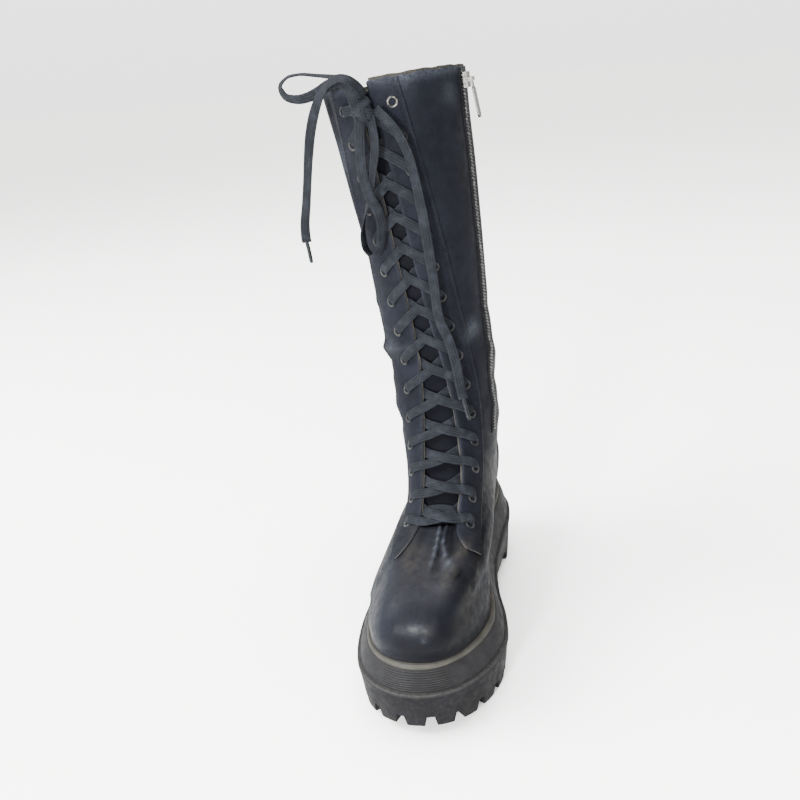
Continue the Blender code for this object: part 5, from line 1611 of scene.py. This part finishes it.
def make_eyelets(side, sign):
    """Rolled rings of black enamel, rubbed bright on the crown, with a disc of painted shadow across the
    hole.
    """
    verts, faces, wear, holes = [], [], [], []
    for k, row in enumerate(eyelet_rows()):
        around = SKIN.around(row, sign * eyelet_reach(row, side))
        z = surface_normal(row, around)
        x = unit(np.cross([0.0, 0.0, 1.0], z))
        rings = eyelet_rings(surface(row, around, FACING_TOP), x, np.cross(z, x), z)
        base = len(verts) * EYELET_SIDES
        faces += [tuple(i + base for i in face) for face in grid_faces(len(rings), EYELET_SIDES, True)]
        bottom = base + (len(rings) - 1) * EYELET_SIDES
        # A near-black disc across the foot of the ring: painted shadow in the hole
        holes.append(len(faces))
        faces.append(tuple(range(bottom, bottom + EYELET_SIDES)))
        verts += rings
        wear += [np.full(EYELET_SIDES, eyelet_wear(k, side) * roll.worn) for roll in EYELET_PROFILE]
    rings = piece(f"eyelets_{side}", verts, faces, ["enamel", "hole"], {"wear": wear})
    for index in holes:
        rings.data.polygons[index].material_index = 1
    return rings


def make_zip_chain():
    """Tape of the side zip with its two rows of small teeth."""
    rows = even_rows(ZIP[0].row, TOP_ROW - 0.03, 2.5 * MM)
    girth = girth_at(rows)
    centre = zip_around(rows)
    half = ZIP_TAPE_WIDTH / 2 / girth
    place, around = strip_grid(rows, centre - half, centre + half, TAPE_COLUMNS)
    lift = 0.25 * MM * np.abs(np.linspace(-1, 1, TAPE_COLUMNS))[None, :]
    tape = piece("zip_tape", surface(place, around, 0.5 * MM + lift), grid_faces(*around.shape), ["tape"])
    apply(tape, "SOLIDIFY", thickness=0.9 * MM, offset=-1)
    length = run_along(surface(rows, centre))
    places = np.arange(TOOTH_PITCH, length[-1], TOOTH_PITCH)
    corners = np.array([(x, y, z) for z in (-0.5, 0.5) for y in (-0.5, 0.5) for x in (-0.5, 0.5)])
    corners[4:, 0] *= 0.8
    shape = corners * np.array(TOOTH)
    verts, faces = [], []
    for k, at in enumerate(places):
        row = np.interp(at, length, rows)
        point = surface(row, zip_around(row), 0.9 * MM)
        out = surface_normal(row, zip_around(row))
        up = unit(surface(row + 0.05, zip_around(row + 0.05)) - surface(row - 0.05, zip_around(row - 0.05)))
        side = unit(np.cross(up, out))
        shift = side * (TOOTH_FROM_MIDDLE if k % 2 else -TOOTH_FROM_MIDDLE)
        faces += [tuple(i + len(corners) * k for i in face) for face in BOX_FACES]
        verts.append(point + shift + shape[:, :1] * side + shape[:, 1:2] * up + shape[:, 2:] * out)
    teeth = piece("zip_teeth", verts, faces, ["teeth"])
    teeth.data.polygons.foreach_set("use_smooth", [False] * len(teeth.data.polygons))
    return tape, teeth


# Camera of the photo: place in metres, angles in degrees, and the turn that brings the boot to the
# middle, as shares of the view's depth
CAMERA_PLACE = (0.1401, -0.589, 0.4394)
CAMERA_YAW = 6.75
CAMERA_PITCH = 20.8
CAMERA_ROLL = -2.33
AIM_RIGHT = -0.1310
AIM_UP = -0.0206

# Studio lights: name, place, aim, size in metres and power in watts
Light = namedtuple("Light", "name place aim size power")
LIGHTS = [
    Light("key", (-1.6, -0.5, 2.0), (0, 0, 0.1), 1.4, 205),
    Light("top", (0.1, 0.3, 2.4), (0, 0, 0), 1.2, 90),
    Light("left_window", (-0.36, -1.82, 0.56), (0, -0.12, 0.08), 0.26, 104),
    Light("right_window", (0.36, -1.86, 0.5), (0, -0.12, 0.08), 0.2, 36),
]

# Shares of the room's light just above the floor, and on the boot's inner side
HORIZON_SHARE = 0.775
INNER_SHARE = 0.22


def camera_axes():
    """Right, up and forward of the photo's camera, turned so that the boot is in the middle."""
    yaw, pitch, roll = (math.radians(a) for a in (CAMERA_YAW, CAMERA_PITCH, CAMERA_ROLL))
    forward = Vector((-math.sin(yaw) * math.cos(pitch), math.cos(yaw) * math.cos(pitch), -math.sin(pitch)))
    level = Vector((math.cos(yaw), math.sin(yaw), 0))
    above = level.cross(forward)
    right = level * math.cos(roll) + above * math.sin(roll)
    up = above * math.cos(roll) - level * math.sin(roll)
    forward = (forward + right * AIM_RIGHT + up * AIM_UP).normalized()
    right = (right - forward * right.dot(forward)).normalized()
    return right, right.cross(forward), forward


def make_camera(lens):
    """The scene's camera."""
    right, up, forward = camera_axes()
    data = bpy.data.cameras.new("photo_camera")
    data.lens = lens
    data.sensor_width = 36
    camera = bpy.data.objects.new("photo_camera", data)
    turn = Matrix((right, up, -forward)).transposed().to_4x4()
    camera.matrix_world = Matrix.Translation(CAMERA_PLACE) @ turn
    bpy.context.scene.collection.objects.link(camera)
    bpy.context.scene.camera = camera
    return camera


def make_lights(strength):
    """Large soft lamps."""
    for light in LIGHTS:
        data = bpy.data.lights.new(light.name, "AREA")
        data.size = light.size
        data.energy = light.power * strength
        lamp = bpy.data.objects.new(light.name, data)
        way = Vector(light.aim) - Vector(light.place)
        turn = way.to_track_quat("-Z", "Y").to_matrix().to_4x4()
        lamp.matrix_world = Matrix.Translation(light.place) @ turn
        bpy.context.scene.collection.objects.link(lamp)


def make_floor(size):
    """Pale floor, wide enough to meet the room without an edge."""
    look = Look("pale_floor", 0.9, specular=0.2)
    look.shader.inputs["Base Color"].default_value = colour(FLOOR)
    bpy.ops.mesh.primitive_plane_add(size=size, location=(0, 0, 0))
    floor = bpy.context.object
    floor.name = "floor"
    floor.data.materials.append(look.material)
    return floor


def make_world(strength):
    """Pale room, dimmer on the boot's inner side, and just above the floor to meet its tone."""
    world = bpy.data.worlds.new("pale_room")
    world.use_nodes = True
    tree = world.node_tree
    way = add(tree, "ShaderNodeTexCoord", {}, {}).outputs["Generated"]
    parts = add(tree, "ShaderNodeSeparateXYZ", {}, {"Vector": way}).outputs
    soft = {"interpolation_type": "SMOOTHSTEP"}
    rise = {"Value": parts["Z"], "From Max": 0.35, "To Min": HORIZON_SHARE}
    height = add(tree, "ShaderNodeMapRange", soft, rise).outputs["Result"]
    ends = {"Value": parts["X"], "From Min": 0.2, "From Max": 0.75}
    ends.update({"To Min": strength, "To Max": INNER_SHARE * strength})
    light = add(tree, "ShaderNodeMapRange", soft, ends).outputs["Result"]
    light = add(tree, "ShaderNodeMath", {"operation": "MULTIPLY"}, {0: light, 1: height}).outputs["Value"]
    back = tree.nodes["Background"]
    back.inputs["Color"].default_value = colour("fbfbfa")
    tree.links.new(light, back.inputs["Strength"])
    bpy.context.scene.world = world


def dress(name, look):
    """Gives a solid of the CAD its material."""
    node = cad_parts[name]
    node.data.materials.clear()
    node.data.materials.append(LOOKS[look])
    return node


class BootSettings(bpy.types.PropertyGroup):
    """Settings of the stage."""

    lens: bpy.props.FloatProperty(
        name="Lens", description="Focal length of the camera in millimetres", default=37.1, min=20, max=90
    )
    floor_size: bpy.props.FloatProperty(
        name="Floor", description="Width of the floor", default=80.0, unit="LENGTH"
    )
    room_light: bpy.props.FloatProperty(
        name="Room light", description="Strength of the light from all round", default=3.6, min=0
    )
    lamp_share: bpy.props.FloatProperty(
        name="Lamps", description="Share of the lamps' full power", default=1.0, subtype="FACTOR", min=0
    )


class OBJECT_OT_boot_looks(bpy.types.Operator):
    """Makes the materials of the boot"""

    bl_idname = "object.boot_looks"
    bl_label = "Materials"

    def execute(self, context):
        make_looks()
        return {"FINISHED"}


class OBJECT_OT_boot_leather(bpy.types.Operator):
    """Makes the upper, facings, tongue, collar and stitching"""

    bl_idname = "object.boot_leather"
    bl_label = "Leather"

    def execute(self, context):
        upper = make_upper()
        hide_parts("upper")
        tongue = make_tongue()
        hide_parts("tongue")
        facings = [make_facing(side) for side in SIGN]
        for panel, side in zip(facings, SIGN):
            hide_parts(f"facing_{side}")
        collar, stitches = make_collar(), make_stitches()
        for obj in (upper, tongue, *facings, collar, stitches):
            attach(obj, "boot")
        return {"FINISHED"}


class OBJECT_OT_boot_sole(bpy.types.Operator):
    """Makes the outsole, midsole and welt"""

    bl_idname = "object.boot_sole"
    bl_label = "Sole"

    def execute(self, context):
        for obj, node in ((make_outsole(), "outsole"), (make_midsole(), "midsole"), (make_welt(), "welt")):
            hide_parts(node)
            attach(obj, "boot")
        dress("insole", "lining")
        return {"FINISHED"}


class OBJECT_OT_boot_lace(bpy.types.Operator):
    """Makes the crossed lace, the knot, its loops and its ends"""

    bl_idname = "object.boot_lace"
    bl_label = "Lace"

    def execute(self, context):
        crossings = make_crossings()
        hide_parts("lace_bar", *(f"lace_cross_{k:02d}" for k in range(EYELET_PAIRS - 1)))
        knot = make_knot()
        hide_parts("lace_bow")
        for obj in (crossings, knot):
            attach(obj, "boot")
        for strand, path, aglet in make_bow():
            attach(strand, "boot")
            if aglet:
                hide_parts(strand.name.replace("_flat", ""))
                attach(aglet, "boot")
        return {"FINISHED"}


class OBJECT_OT_boot_metal(bpy.types.Operator):
    """Makes the eyelets and the zip, and finishes the slider and its pull"""

    bl_idname = "object.boot_metal"
    bl_label = "Eyelets and zip"

    def execute(self, context):
        for side, sign in SIGN.items():
            rings = make_eyelets(side, sign)
            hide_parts(*(f"eyelet_{side}_{k + 1:02d}" for k in range(EYELET_PAIRS)))
            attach(rings, "boot")
        tape, teeth = make_zip_chain()
        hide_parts("zip_chain")
        for obj in (tape, teeth):
            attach(obj, "boot")
        for name in ("zip_slider", "zip_pull"):
            soft = dress(name, "nickel").modifiers.new("soft_edges", "BEVEL")
            soft.width = 0.25 * MM
            soft.segments = 2
            soft.limit_method = "ANGLE"
        return {"FINISHED"}


class OBJECT_OT_boot_stage(bpy.types.Operator):
    """Sets the floor, the lamps and the camera"""

    bl_idname = "object.boot_stage"
    bl_label = "Stage"

    def execute(self, context):
        settings = context.scene.boot_settings
        make_floor(settings.floor_size)
        make_world(settings.room_light)
        make_lights(settings.lamp_share)
        make_camera(settings.lens)
        return {"FINISHED"}


STEPS = (
    OBJECT_OT_boot_looks,
    OBJECT_OT_boot_leather,
    OBJECT_OT_boot_sole,
    OBJECT_OT_boot_lace,
    OBJECT_OT_boot_metal,
    OBJECT_OT_boot_stage,
)


class VIEW3D_PT_boot(bpy.types.Panel):
    """Sidebar of the boot"""

    bl_idname = "VIEW3D_PT_boot"
    bl_label = "Combat boot"
    bl_space_type = "VIEW_3D"
    bl_region_type = "UI"
    bl_category = "Boot"

    def draw(self, context):
        settings = context.scene.boot_settings
        for name in BootSettings.__annotations__:
            self.layout.prop(settings, name)
        for step in STEPS:
            self.layout.operator(step.bl_idname)


CLASSES = (BootSettings, *STEPS, VIEW3D_PT_boot)


def register():
    """Adds the classes and the settings."""
    for cls in CLASSES:
        bpy.utils.register_class(cls)
    bpy.types.Scene.boot_settings = bpy.props.PointerProperty(type=BootSettings)


def unregister():
    """Takes the classes and the settings away."""
    del bpy.types.Scene.boot_settings
    for cls in reversed(CLASSES):
        bpy.utils.unregister_class(cls)


def main():
    """Builds the boot and its stage."""
    register()
    for step in STEPS:
        group, name = step.bl_idname.split(".")
        getattr(getattr(bpy.ops, group), name)()


if __name__ == "__main__":
    main()
